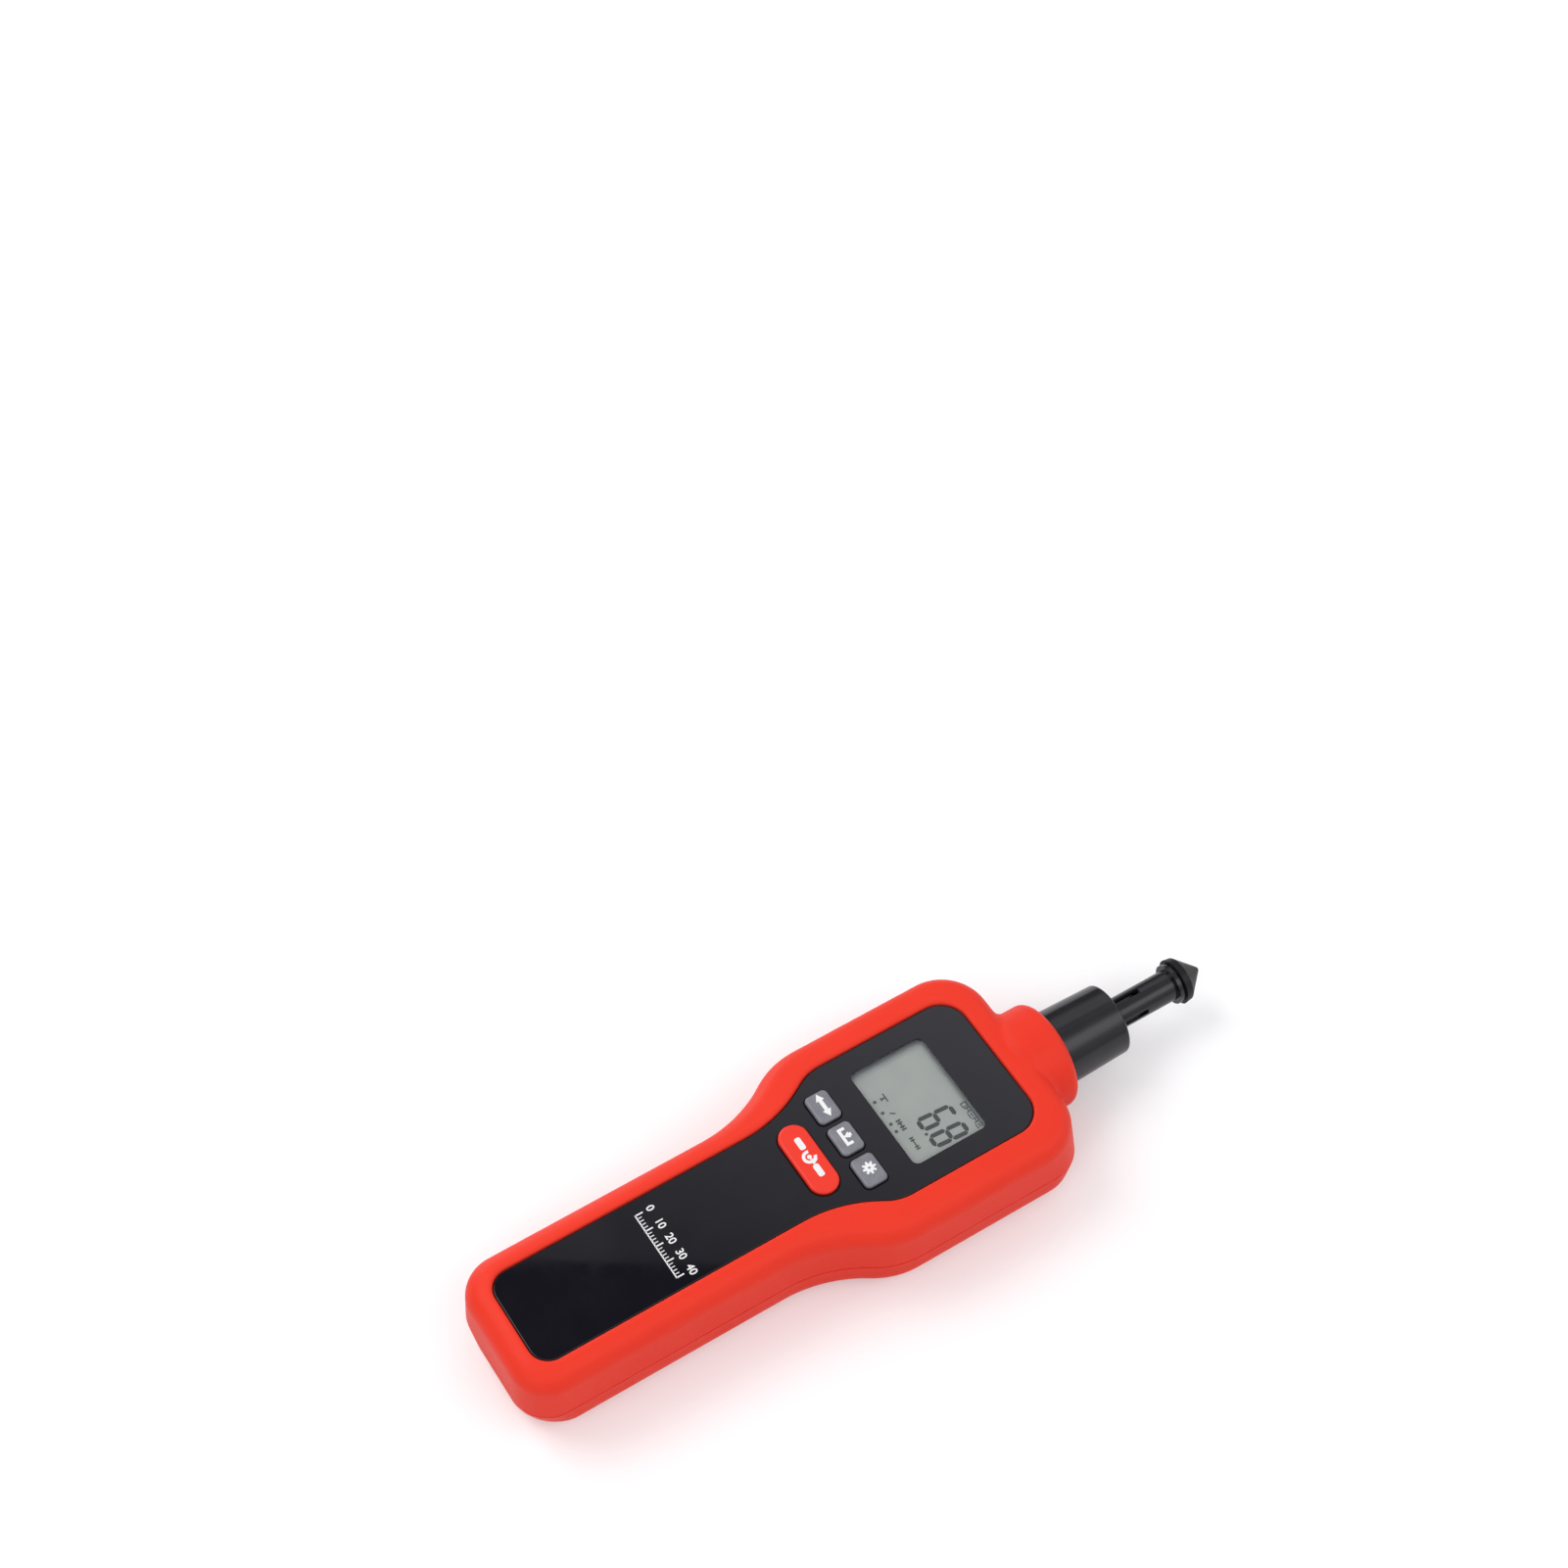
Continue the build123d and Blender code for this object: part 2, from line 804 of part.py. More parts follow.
def circuit_board():
    board = board_section(board_tongue_width, board_back, board_neck_y + 2 * board_corner)
    board += board_section(board_neck_width, board_neck_y, board_wide_y + 2 * board_corner)
    board += board_section(board_width, board_wide_y, board_front)
    for x, y in board_screw_places():
        board -= pillar(board_screw_radius + screw_clearance, board_bottom - past, board_top + past, x, y)
    return board - pin_row(header_pin + 2 * lens_gap)


def microcontroller():
    half = chip_size / 2
    return block(chip_size, key_row_y - half, key_row_y + half, board_bottom - chip_thickness, board_bottom)


def crystal():
    corner = can_width / 2 - 0.01
    station = key_row_y - can_back
    return pad(can_length, can_width, corner, board_bottom - can_height, board_bottom, 0, station)


def pin_row(width):
    # Straight square pins that link the sensor's board with the main board
    row = []
    bottom = sensor_board_bottom - header_end
    top = board_top + header_end
    for number in range(header_pins):
        x = (number - (header_pins - 1) / 2) * header_pitch
        row.append(block(width, header_y - width / 2, header_y + width / 2, bottom, top, x))
    return row


def header_block():
    half = header_strip / 2
    strip = block(header_pins * header_pitch, header_y - half, header_y + half, sensor_bottom, sensor_bottom + header_strip)
    return strip - pin_row(header_pin)


def nose_sleeve():
    seat = bearing_outer / 2 + bearing_fit
    bore = hub_radius + hub_gap
    lip_bore = stem_radius + sleeve_lip_gap
    seat_front = front_bearing_y + bearing_width + bearing_fit
    sleeve = turned(
        [
            (sleeve_back, seat),
            (sleeve_back, sleeve_root_radius),
            (flange_back, sleeve_root_radius),
            (flange_back, sleeve_flange_radius),
            (inner_head, sleeve_flange_radius),
            (inner_head, sleeve_root_radius),
            (boss_front, sleeve_root_radius),
            (sleeve_front, sleeve_end_radius),
            (sleeve_front, lip_bore),
            (lip_back, lip_bore),
            (lip_back, bore),
            (seat_front, bore),
            (seat_front, seat),
        ]
    )
    return fillet(rims_at(sleeve, sleeve_front)[-1], sleeve_edge)


def bearing_ring(inner, outer, back):
    return rod(outer, back, back + bearing_width) - rod(inner, back, back + bearing_width)


def bearing_spacer():
    outer = bearing_outer / 2
    back = rear_bearing_y + bearing_width
    return rod(outer, back, front_bearing_y) - rod(outer - spacer_wall, back, front_bearing_y)


def spindle():
    shaft = bearing_bore / 2 - bearing_fit
    socket = stem_radius + socket_gap
    shoulder = bearing_split / 2 - shoulder_drop
    return turned(
        [
            (shaft_back, 0),
            (shaft_back, shaft),
            (clip_y - clip_fit, shaft),
            (clip_y - clip_fit, clip_groove_radius),
            (clip_y + clip_thickness + clip_fit / 2, clip_groove_radius),
            (clip_y + clip_thickness + clip_fit / 2, shaft),
            (shoulder_y, shaft),
            (shoulder_y, shoulder),
            (hub_back, shoulder),
            (hub_back, hub_radius),
            (hub_front, hub_radius),
            (hub_front, socket),
            (socket_back, socket),
            (socket_back, 0),
        ]
    )


def encoder_disc():
    shaft = bearing_bore / 2
    front = disc_y + disc_thickness
    disc = turned(
        [
            (disc_y, shaft),
            (disc_y, disc_radius),
            (front, disc_radius),
            (front, disc_hub_radius),
            (disc_hub_front, disc_hub_radius),
            (disc_hub_front, shaft),
        ]
    )
    depth = disc_slot_outer - disc_slot_inner
    centre = (disc_slot_outer + disc_slot_inner) / 2
    for turn in range(disc_slots):
        slot = Pos(0, disc_middle, axis_height) * Rot(0, turn * 360 / disc_slots, 0)
        disc -= slot * Pos(0, 0, centre) * Box(disc_slot_width, disc_thickness + past, depth)
    return disc


def retaining_clip():
    # Open ring in a groove of the shaft
    bore = clip_groove_radius + clip_fit
    clip = rod(clip_radius, clip_y, clip_y + clip_thickness) - rod(bore, clip_y, clip_y + clip_thickness)
    mouth = Pos(0, clip_y + clip_thickness / 2, axis_height + clip_radius)
    return clip - mouth * Box(2 * clip_groove_radius, clip_thickness, 2 * clip_radius)


def tip_adapter():
    # Slotted tube that plugs into the spindle, with a collar and a spigot for the cone
    spigot_front = cone_back + spigot_length
    adapter = turned(
        [
            (stem_back, stem_bore),
            (stem_back, stem_radius),
            (collar_back, stem_radius),
            (collar_back, collar_radius),
            (neck_back, collar_radius),
            (neck_back, neck_radius),
            (cone_back, neck_radius),
            (cone_back, spigot_radius),
            (spigot_front, spigot_radius),
            (spigot_front, 0),
            (collar_back, 0),
            (collar_back, stem_bore),
        ]
    )
    back = stem_back - past
    slot_front = sleeve_front + stem_slot_reach
    for turn in range(stem_slots):
        angle = stem_slot_turn + turn * 360 / stem_slots
        slot = Pos(0, 0, axis_height) * Rot(0, angle, 0) * Pos(0, 0, -axis_height)
        adapter -= slot * block(stem_slot_width, back, slot_front, axis_height + past, axis_height + 2 * stem_radius)
    return adapter


def cone_tip():
    band_front = cone_back + cone_band
    tip = band_front + cone_length
    hole = spigot_radius + spigot_fit
    hole_front = cone_back + spigot_length + spigot_end_gap
    cone = turned(
        [
            (cone_back, hole),
            (cone_back, cone_back_radius),
            (band_front, cone_front_radius),
            (tip, cone_nose_radius),
            (tip, 0),
            (hole_front, 0),
            (hole_front, hole),
        ]
    )
    return fillet(rims_at(cone, tip)[-1], cone_nose_curve)


def optical_sensor():
    back = disc_middle - sensor_length / 2
    front = disc_middle + sensor_length / 2
    top = sensor_bottom + sensor_height
    fork = block(sensor_width, back, front, sensor_bottom, top)
    slot_back = disc_middle - sensor_slot / 2
    slot_front = disc_middle + sensor_slot / 2
    return fork - block(sensor_width, slot_back, slot_front, sensor_bottom + sensor_floor, top)


def sensor_board():
    board = block(sensor_board_width, sensor_board_back, sensor_board_front, sensor_board_bottom, sensor_bottom)
    return board - pin_row(header_pin + 2 * lens_gap)


def battery():
    front = battery_y + battery_length
    cell = block(battery_width, battery_y, front, battery_bottom, battery_bottom + battery_depth)
    cell = fillet(cell.edges().filter_by(Axis.Y), battery_corner)
    for x in contact_places():
        stud = Pos(x, front + terminal_height / 2, battery_bottom + battery_depth / 2)
        cell += stud * Rot(90, 0, 0) * Cylinder(terminal_radius, terminal_height)
    return cell


def contact_places():
    return (-terminal_pitch / 2, terminal_pitch / 2)


def battery_contact(x):
    # Leaf on the compartment's front wall, with a tail through the wall to the board's underside
    back = box_front - contact_thickness
    bottom = battery_bottom + battery_depth / 2 - contact_drop
    tail_front = board_back + contact_lap
    leaf = block(contact_width, back, box_front, bottom, board_bottom, x)
    return leaf + block(contact_width, back, tail_front, board_bottom - contact_thickness, board_bottom, x)


def screw(radius, length, head_radius, head_height, seat, x, y):
    # Pan-headed screw with a cross recess, driven upwards, its head's upper face at the seat
    low = seat - head_height
    head = pillar(head_radius, low, seat, x, y)
    head = fillet(edges_at(head, low), head_round_share * head_height)
    reach, width = cross_share * head_radius, cross_width_share * head_radius
    deep = low + cross_depth_share * head_height
    head -= block(2 * reach, y - width / 2, y + width / 2, low - past, deep, x)
    head -= block(width, y - reach, y + reach, low - past, deep, x)
    return head + pillar(radius, seat - head_height / 4, seat + length, x, y)


def case_screw(x, y):
    return screw(
        case_screw_radius, case_screw_length, case_screw_head, case_screw_head_height, case_screw_sink, x, y
    )


def cover_screw():
    return screw(
        case_screw_radius,
        cover_screw_length,
        cover_screw_head,
        cover_screw_head_height,
        cover_screw_sink,
        0,
        cover_screw_y,
    )


def board_screw(x, y):
    return screw(
        board_screw_radius, board_screw_length, board_screw_head, board_screw_head_height, board_bottom, x, y
    )


def bearing_rings(inner, outer):
    return [bearing_ring(inner, outer, back) for back in (rear_bearing_y, front_bearing_y)]


def build():
    form = whole_form()
    split_radius = bearing_split / 2
    nodes = {
        "front_shell": front_shell(form),
        "rear_shell": rear_shell(form),
        "battery_cover": battery_cover(form),
        "front_panel": front_panel(),
        "window_lens": window_lens(),
        "lcd_glass": lcd_glass(),
        "backlight": backlight(),
        "zebra_strips": Compound(children=zebra_strips()),
        "circuit_board": circuit_board(),
        "microcontroller": microcontroller(),
        "crystal": crystal(),
        "tact_switches": Compound(children=[tact_switch(place[1], place[2]) for place in key_places()]),
        "nose_sleeve": nose_sleeve(),
        "bearing_outer_rings": Compound(children=bearing_rings(split_radius + bearing_gap, bearing_outer / 2)),
        "bearing_inner_rings": Compound(children=bearing_rings(bearing_bore / 2, split_radius)),
        "bearing_spacer": bearing_spacer(),
        "spindle": spindle(),
        "encoder_disc": encoder_disc(),
        "retaining_clip": retaining_clip(),
        "tip_adapter": tip_adapter(),
        "cone_tip": cone_tip(),
        "optical_sensor": optical_sensor(),
        "sensor_board": sensor_board(),
        "header_strip": header_block(),
        "header_pins": Compound(children=pin_row(header_pin)),
        "battery": battery(),
        "battery_contacts": Compound(children=[battery_contact(x) for x in contact_places()]),
        "cover_screw": cover_screw(),
        "case_screws": Compound(children=[case_screw(x, y) for x, y in case_screw_places()]),
        "board_screws": Compound(children=[board_screw(x, y) for x, y in board_screw_places()]),
    }
    for name, x, y, width, length, corner in key_places():
        nodes[name + "_key"] = key_cap(x, y, width, length, corner)
        nodes[name + "_plunger"] = plunger(x, y)
    return nodes


os.makedirs("parts", exist_ok=True)
for name, part in build().items():
    export_step(part, f"parts/{name}.step")
    print(name, round(part.volume, 1))
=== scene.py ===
import bpy
import math
from mathutils import Matrix, Vector


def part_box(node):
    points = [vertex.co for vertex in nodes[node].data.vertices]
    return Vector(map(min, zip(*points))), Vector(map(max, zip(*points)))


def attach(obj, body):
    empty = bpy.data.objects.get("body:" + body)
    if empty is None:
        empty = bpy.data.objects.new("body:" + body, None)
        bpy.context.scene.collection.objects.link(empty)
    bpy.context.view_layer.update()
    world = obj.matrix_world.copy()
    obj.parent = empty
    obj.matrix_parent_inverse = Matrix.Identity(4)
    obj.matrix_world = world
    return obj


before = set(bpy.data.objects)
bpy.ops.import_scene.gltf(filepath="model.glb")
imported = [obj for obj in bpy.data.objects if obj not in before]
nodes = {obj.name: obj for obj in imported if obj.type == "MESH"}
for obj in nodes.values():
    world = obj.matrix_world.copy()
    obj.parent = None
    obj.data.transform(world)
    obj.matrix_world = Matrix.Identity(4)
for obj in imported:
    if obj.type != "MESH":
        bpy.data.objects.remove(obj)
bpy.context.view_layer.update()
mm = 0.001


def say(stage):
    print("tachometer:", stage)


def tint(red, green, blue):  # a colour as a paint programme shows it, 0 to 255
    shares = [level / 255 for level in (red, green, blue)]
    linear = [v / 12.92 if v < 11 / 255 else ((v + 0.055) / 1.055) ** 2.4 for v in shares]
    return tuple(linear) + (1.0,)


# shader wiring
class Wire:  # one output of a shader tree; plain sums on it add Math nodes
    def __init__(self, tree, socket):
        self.tree, self.socket = tree, socket

    def joined(self, operation, *values):
        node = self.tree.nodes.new("ShaderNodeMath")
        node.operation = operation
        for hole, value in zip(node.inputs, values):
            if isinstance(value, Wire):
                self.tree.links.new(value.socket, hole)
            else:
                hole.default_value = value
        return Wire(self.tree, node.outputs[0])

    def __add__(self, other):
        return self.joined("ADD", self, other)

    def __radd__(self, other):
        return self.joined("ADD", other, self)

    def __sub__(self, other):
        return self.joined("SUBTRACT", self, other)

    def __rsub__(self, other):
        return self.joined("SUBTRACT", other, self)

    def __mul__(self, other):
        return self.joined("MULTIPLY", self, other)

    def __rmul__(self, other):
        return self.joined("MULTIPLY", other, self)

    def __truediv__(self, other):
        return self.joined("DIVIDE", self, other)

    def __gt__(self, other):
        return self.joined("GREATER_THAN", self, other)

    def __lt__(self, other):
        return self.joined("LESS_THAN", self, other)

    def __abs__(self):
        return self.joined("ABSOLUTE", self)

    def __mod__(self, other):
        return self.joined("FLOORED_MODULO", self, other)

    def most(self, other):
        return self.joined("MAXIMUM", self, other)

    def least(self, other):
        return self.joined("MINIMUM", self, other)


class Finish:  # a material in the making
    def __init__(self, name, tree=None):
        if tree is None:
            self.material = bpy.data.materials.new(name)
            self.material.use_nodes = True
            tree = self.material.node_tree
        self.tree = tree
        tree.nodes.clear()

    def add(self, kind, settings=None, sockets=None, output=0):
        node = self.tree.nodes.new(kind)
        for name, value in (settings or {}).items():
            if name == "stops":
                ramp = node.color_ramp.elements
                while len(ramp) < len(value):
                    ramp.new(0.5)
                for stop, (place, colour) in zip(ramp, value):
                    stop.position, stop.color = place, colour
            else:
                setattr(node, name, value)
        for name, value in (sockets or {}).items():
            if isinstance(value, Wire):
                self.tree.links.new(value.socket, node.inputs[name])
            else:
                node.inputs[name].default_value = value
        return Wire(self.tree, node.outputs[output])

    def place(self, scale=(1, 1, 1)):  # where on the object
        here = self.add("ShaderNodeTexCoord", output="Object")
        return self.add("ShaderNodeMapping", None, {"Vector": here, "Scale": scale})

    def axes(self, where=None):  # a place taken apart into x, y and z
        parts = self.add("ShaderNodeSeparateXYZ", None, {"Vector": where or self.place()}, "X")
        return [Wire(self.tree, parts.socket.node.outputs[letter]) for letter in "XYZ"]

    def noise(self, size, detail=3.0, roughness=0.5, where=None):  # grains about `size` metres across
        sockets = {"Vector": where or self.place(), "Scale": 1 / size}
        sockets.update({"Detail": detail, "Roughness": roughness})
        return self.add("ShaderNodeTexNoise", None, sockets, "Fac")

    def spread(self, value, low, high, start=0.0, end=1.0):  # low to high becomes start to end
        sockets = {"Value": value, "From Min": low, "From Max": high, "To Min": start, "To Max": end}
        return self.add("ShaderNodeMapRange", {"clamp": True}, sockets)

    def blend(self, share, first, second):
        return self.add("ShaderNodeMix", {"data_type": "RGBA"}, {0: share, 6: first, 7: second}, 2)

    def clouded(self, clouds, s, low=0.35, high=0.65, share=1.0):  # the finish's two colours, in soft patches
        return self.blend(self.spread(clouds, low, high, 0.0, share), tint(*s["colour"]), tint(*s["deep"]))

    def footShaded(self, colour, s):  # a key's colour, with painted shade darker down in its opening
        low, high = (height * mm for height in s["footHeights"])
        return self.blend(self.spread(self.axes()[2], low, high), tint(*s["footShade"]), colour)

    def bump(self, height, depth, strength=1.0, under=None):
        sockets = {"Height": height, "Distance": depth, "Strength": strength}
        if under is not None:
            sockets["Normal"] = under
        return self.add("ShaderNodeBump", None, sockets)

    def shaded(self, **sockets):
        named = {name.replace("_", " "): value for name, value in sockets.items()}
        return self.add("ShaderNodeBsdfPrincipled", None, named)

    def done(self, shader):
        end = self.tree.nodes.new("ShaderNodeOutputMaterial")
        self.tree.links.new(shader.socket, end.inputs["Surface"])
        return self.material


def dress(material, *names):
    for name in names:
        mesh = nodes[name].data
        mesh.materials.clear()
        mesh.materials.append(material)


# finishes: sizes in millimetres, colours 0 to 255
caseRed = {
    "colour": (231, 57, 39), "deep": (227, 52, 35), "patchShare": 0.35, "patch": 22, "patchDepth": 0.05,
    "pit": 0.9, "grain": 0.16, "grainDepth": 0.006, "roughness": 0.42, "shine": 0.12,
}
# the red key's foot colour is painted shade, down in its opening
keyRed = dict(caseRed)
keyRed.update({
    "colour": (233, 55, 38), "deep": (229, 51, 35), "footShade": (120, 20, 16), "footHeights": (29.3, 30.1),
    "grain": 0.3, "grainDepth": 0.004, "roughness": 0.36, "shine": 0.3,
})


def makeRed(name, s):
    f = Finish(name)
    clouds = f.noise(s["patch"] * mm, 2)
    grain = f.noise(s["grain"] * mm, 2)
    pits = f.noise(s["pit"] * mm, 3)
    colour = f.clouded(clouds, s, share=s["patchShare"])
    # painted shade towards the key's foot
    if "footShade" in s:
        colour = f.footShaded(colour, s)
    rough = s["roughness"] + f.spread(pits, 0.3, 0.7, -0.03, 0.05) + f.spread(clouds, 0.3, 0.7, -0.02, 0.03)
    bump = f.bump(grain, s["grainDepth"] * mm, 0.55, f.bump(clouds, s["patchDepth"] * mm, 0.25))
    return f.done(f.shaded(Base_Color=colour, Roughness=rough, Normal=bump, Specular_IOR_Level=s["shine"]))


plateBlack = {
    "colour": (19, 18, 24), "deep": (22, 21, 27), "smudge": 9, "dust": 0.25, "dustFrom": 0.80, "wave": 24,
    "waveDepth": 0.01, "roughness": 0.02, "smudgeRoughness": 0.02, "dustRoughness": 0.06, "ior": 1.49,
}


def makeGlossBlack(name, s):  # back-painted clear plate
    f = Finish(name)
    smudge = f.noise(s["smudge"] * mm, 4, 0.6)
    dust = f.noise(s["dust"] * mm, 1)
    wave = f.noise(s["wave"] * mm, 1)
    colour = f.clouded(smudge, s, 0.4, 0.7)
    rough = s["roughness"] + f.spread(smudge, 0.45, 0.7, 0.0, s["smudgeRoughness"])
    rough = rough + (dust > s["dustFrom"]) * s["dustRoughness"]
    bump = f.bump(wave, s["waveDepth"] * mm, 0.1)
    return f.done(f.shaded(Base_Color=colour, Roughness=rough, Normal=bump, IOR=s["ior"]))


windowClear = {
    "tone": (250, 252, 251), "smudge": 6, "sheen": 0.035, "slantSheen": 0.9, "roughness": (0.02, 0.06),
}


def makeClear(name, s):
    f = Finish(name)
    smudge = f.noise(s["smudge"] * mm, 3)
    slant = f.add("ShaderNodeLayerWeight", None, {"Blend": 0.5}, "Facing")
    sheen = s["sheen"] + slant * slant * slant * slant * slant * s["slantSheen"]
    rough = f.spread(smudge, 0.4, 0.7, *s["roughness"])
    gloss = f.add("ShaderNodeBsdfAnisotropic", None, {"Color": (1, 1, 1, 1), "Roughness": rough})
    through = f.add("ShaderNodeBsdfTransparent", None, {"Color": tint(*s["tone"])})
    return f.done(f.add("ShaderNodeMixShader", None, {0: sheen, 1: through, 2: gloss}))


# the display's own tone, and painted shade along the window's left and upper edge
displayFace = {
    "colour": (165, 166, 163), "deep": (160, 161, 159), "shadeTone": (100, 104, 112), "patch": 7, "speckle": 0.12,
    "speckleDepth": 0.002, "left": -17.2, "top": 30.6, "rimLeft": 3.2, "rimTop": 1.6,
    "leftShade": 0.85, "topShade": 0.6, "roughness": (0.30, 0.42),
}


def makeDisplayGlass(name, s):  # grey display, with painted shade darker under the window's left and upper edge
    f = Finish(name)
    x, y = f.axes()[:2]
    left, top = s["left"] * mm, s["top"] * mm
    clouds = f.noise(s["patch"] * mm, 3)
    speckle = f.noise(s["speckle"] * mm, 2)
    ground = f.clouded(clouds, s)
    # painted shade: the window recess's shadow, along its left and upper edge
    leftShadow = f.spread(x, left, left + s["rimLeft"] * mm, s["leftShade"], 0.0)
    topShadow = f.spread(y, top - s["rimTop"] * mm, top, 0.0, s["topShade"])
    colour = f.blend(leftShadow.most(topShadow), ground, tint(*s["shadeTone"]))
    rough = f.spread(speckle, 0.3, 0.7, *s["roughness"])
    bump = f.bump(speckle, s["speckleDepth"] * mm, 0.4)
    return f.done(f.shaded(Base_Color=colour, Roughness=rough, Normal=bump))


# the grey keys' foot colour is painted shade, down in their openings
keyGrey = {
    "colour": (125, 125, 132), "deep": (116, 116, 123), "footShade": (38, 37, 42), "footHeights": (29.3, 30.25),
    "patch": 3, "grain": 0.22, "grainDepth": 0.008, "roughness": 0.36, "swing": 0.06,
}


def makeKeyRubber(name, s):
    f = Finish(name)
    clouds = f.noise(s["patch"] * mm, 3)
    fine = f.noise(s["grain"] * mm, 3)
    # painted shade towards the key's foot
    colour = f.footShaded(f.clouded(clouds, s), s)
    rough = s["roughness"] + f.spread(fine, 0.3, 0.7, -s["swing"], s["swing"])
    bump = f.bump(fine, s["grainDepth"] * mm, 0.6)
    return f.done(f.shaded(Base_Color=colour, Roughness=rough, Normal=bump))


plainSettings = {
    "white_plastic": {
        "colour": (216, 219, 214), "deep": (205, 208, 204), "grain": 0.4, "grainDepth": 0.004,
        "roughness": 0.45,
    },
    "dark_plastic": {
        "colour": (34, 34, 36), "deep": (26, 26, 28), "grain": 0.15, "grainDepth": 0.004, "roughness": 0.5,
    },
    "black_plastic": {
        "colour": (23, 22, 28), "deep": (18, 17, 23), "grain": 0.25, "grainDepth": 0.002, "roughness": 0.18,
        "swing": 0.03,
    },
    "black_rubber": {
        "colour": (22, 21, 25), "deep": (15, 15, 18), "grain": 0.5, "grainDepth": 0.02, "roughness": 0.42,
        "swing": 0.08, "shine": 0.25,
    },
    "steel": {
        "colour": (190, 190, 192), "deep": (168, 168, 172), "grain": 0.3, "grainDepth": 0.003,
        "roughness": 0.26, "metallic": 1.0,
    },
    "brass": {
        "colour": (212, 178, 104), "deep": (196, 160, 88), "grain": 0.3, "grainDepth": 0.003,
        "roughness": 0.28, "metallic": 1.0,
    },
    "battery_case": {
        "colour": (86, 90, 98), "deep": (74, 78, 86), "grain": 0.4, "grainDepth": 0.006, "roughness": 0.32,
        "metallic": 0.6,
    },
}


def makePlain(name, s):
    f = Finish(name)
    clouds = f.noise(5 * mm, 3)
    fine = f.noise(s["grain"] * mm, 3)
    swing = s.get("swing", 0.06)
    return f.done(f.shaded(
        Base_Color=f.clouded(clouds, s),
        Roughness=s["roughness"] + f.spread(fine, 0.3, 0.7, -swing, swing),
        Metallic=s.get("metallic", 0.0),
        Normal=f.bump(fine, s["grainDepth"] * mm, 0.6),
        Specular_IOR_Level=s.get("shine", 0.5),
    ))


turnedSettings = {
    "turned_steel": {"colour": (196, 196, 198), "deep": (176, 176, 180), "roughness": 0.24},
    "spacer_metal": {"colour": (206, 207, 210), "deep": (190, 191, 195), "roughness": 0.32},
}
toolRings = {"pitch": 0.12, "depth": 0.004, "stretch": (0.02, 1, 0.02)}  # across the spindle's axis


def makeTurned(name, s):
    f = Finish(name)
    rings = f.noise(toolRings["pitch"] * mm, 2, 0.5, f.place(toolRings["stretch"]))
    clouds = f.noise(3 * mm, 2)
    colour = f.clouded(clouds, s, 0.3, 0.7)
    rough = s["roughness"] + f.spread(rings, 0.3, 0.7, -0.06, 0.08)
    bump = f.bump(rings, toolRings["depth"] * mm, 0.5)
    return f.done(f.shaded(Base_Color=colour, Roughness=rough, Metallic=1.0, Normal=bump))


boardGreen = {
    "mask": (14, 74, 40), "maskDeep": (18, 86, 48), "trace": (34, 112, 60), "traceDepth": 0.035,
    "lane": 1.27, "traceWidth": 0.13, "cell": (5.08, 7.62), "alongFrom": 0.45, "acrossBelow": 0.28,
    "patch": 6, "grain": 0.5, "roughness": 0.30,
}


def makeBoard(name, s):  # green solder mask over copper traces
    f = Finish(name)
    x, y = f.axes()[:2]
    lane = abs((x / (s["lane"] * mm)) % 1.0 - 0.5)
    cross = abs((y / (s["lane"] * mm)) % 1.0 - 0.5)
    cellScale = (1 / (s["cell"][0] * mm), 1 / (s["cell"][1] * mm), 0.0)
    corner = f.add("ShaderNodeVectorMath", {"operation": "FLOOR"}, {0: f.place(cellScale)})
    cell = f.add("ShaderNodeTexWhiteNoise", {"noise_dimensions": "2D"}, {"Vector": corner}, "Value")
    along = (lane < s["traceWidth"]) * (cell > s["alongFrom"])
    across = (cross < s["traceWidth"]) * (cell < s["acrossBelow"])
    copper = along.most(across)
    mask = f.blend(f.noise(s["patch"] * mm, 2), tint(*s["mask"]), tint(*s["maskDeep"]))
    colour = f.blend(copper, mask, tint(*s["trace"]))
    rough = s["roughness"] + f.spread(f.noise(s["grain"] * mm), 0.3, 0.7, -0.04, 0.06)
    bump = f.bump(copper, s["traceDepth"] * mm, 0.8)
    return f.done(f.shaded(Base_Color=colour, Roughness=rough, Normal=bump))


stripRubber = {
    "pale": (206, 170, 160), "dark": (38, 36, 38), "pitch": 0.36, "darkHalf": 0.2, "depth": 0.01,
    "grain": 0.3, "roughness": 0.5, "swing": 0.05,
}


def makeStripedRubber(name, s):  # layered strip of conductive and plain rubber
    f = Finish(name)
    x = f.axes()[0]
    lines = abs((x / (s["pitch"] * mm)) % 1.0 - 0.5) < s["darkHalf"]
    colour = f.blend(lines, tint(*s["pale"]), tint(*s["dark"]))
    rough = s["roughness"] + f.spread(f.noise(s["grain"] * mm), 0.3, 0.7, -s["swing"], s["swing"])
    return f.done(f.shaded(Base_Color=colour, Roughness=rough, Normal=f.bump(lines, s["depth"] * mm, 0.4)))


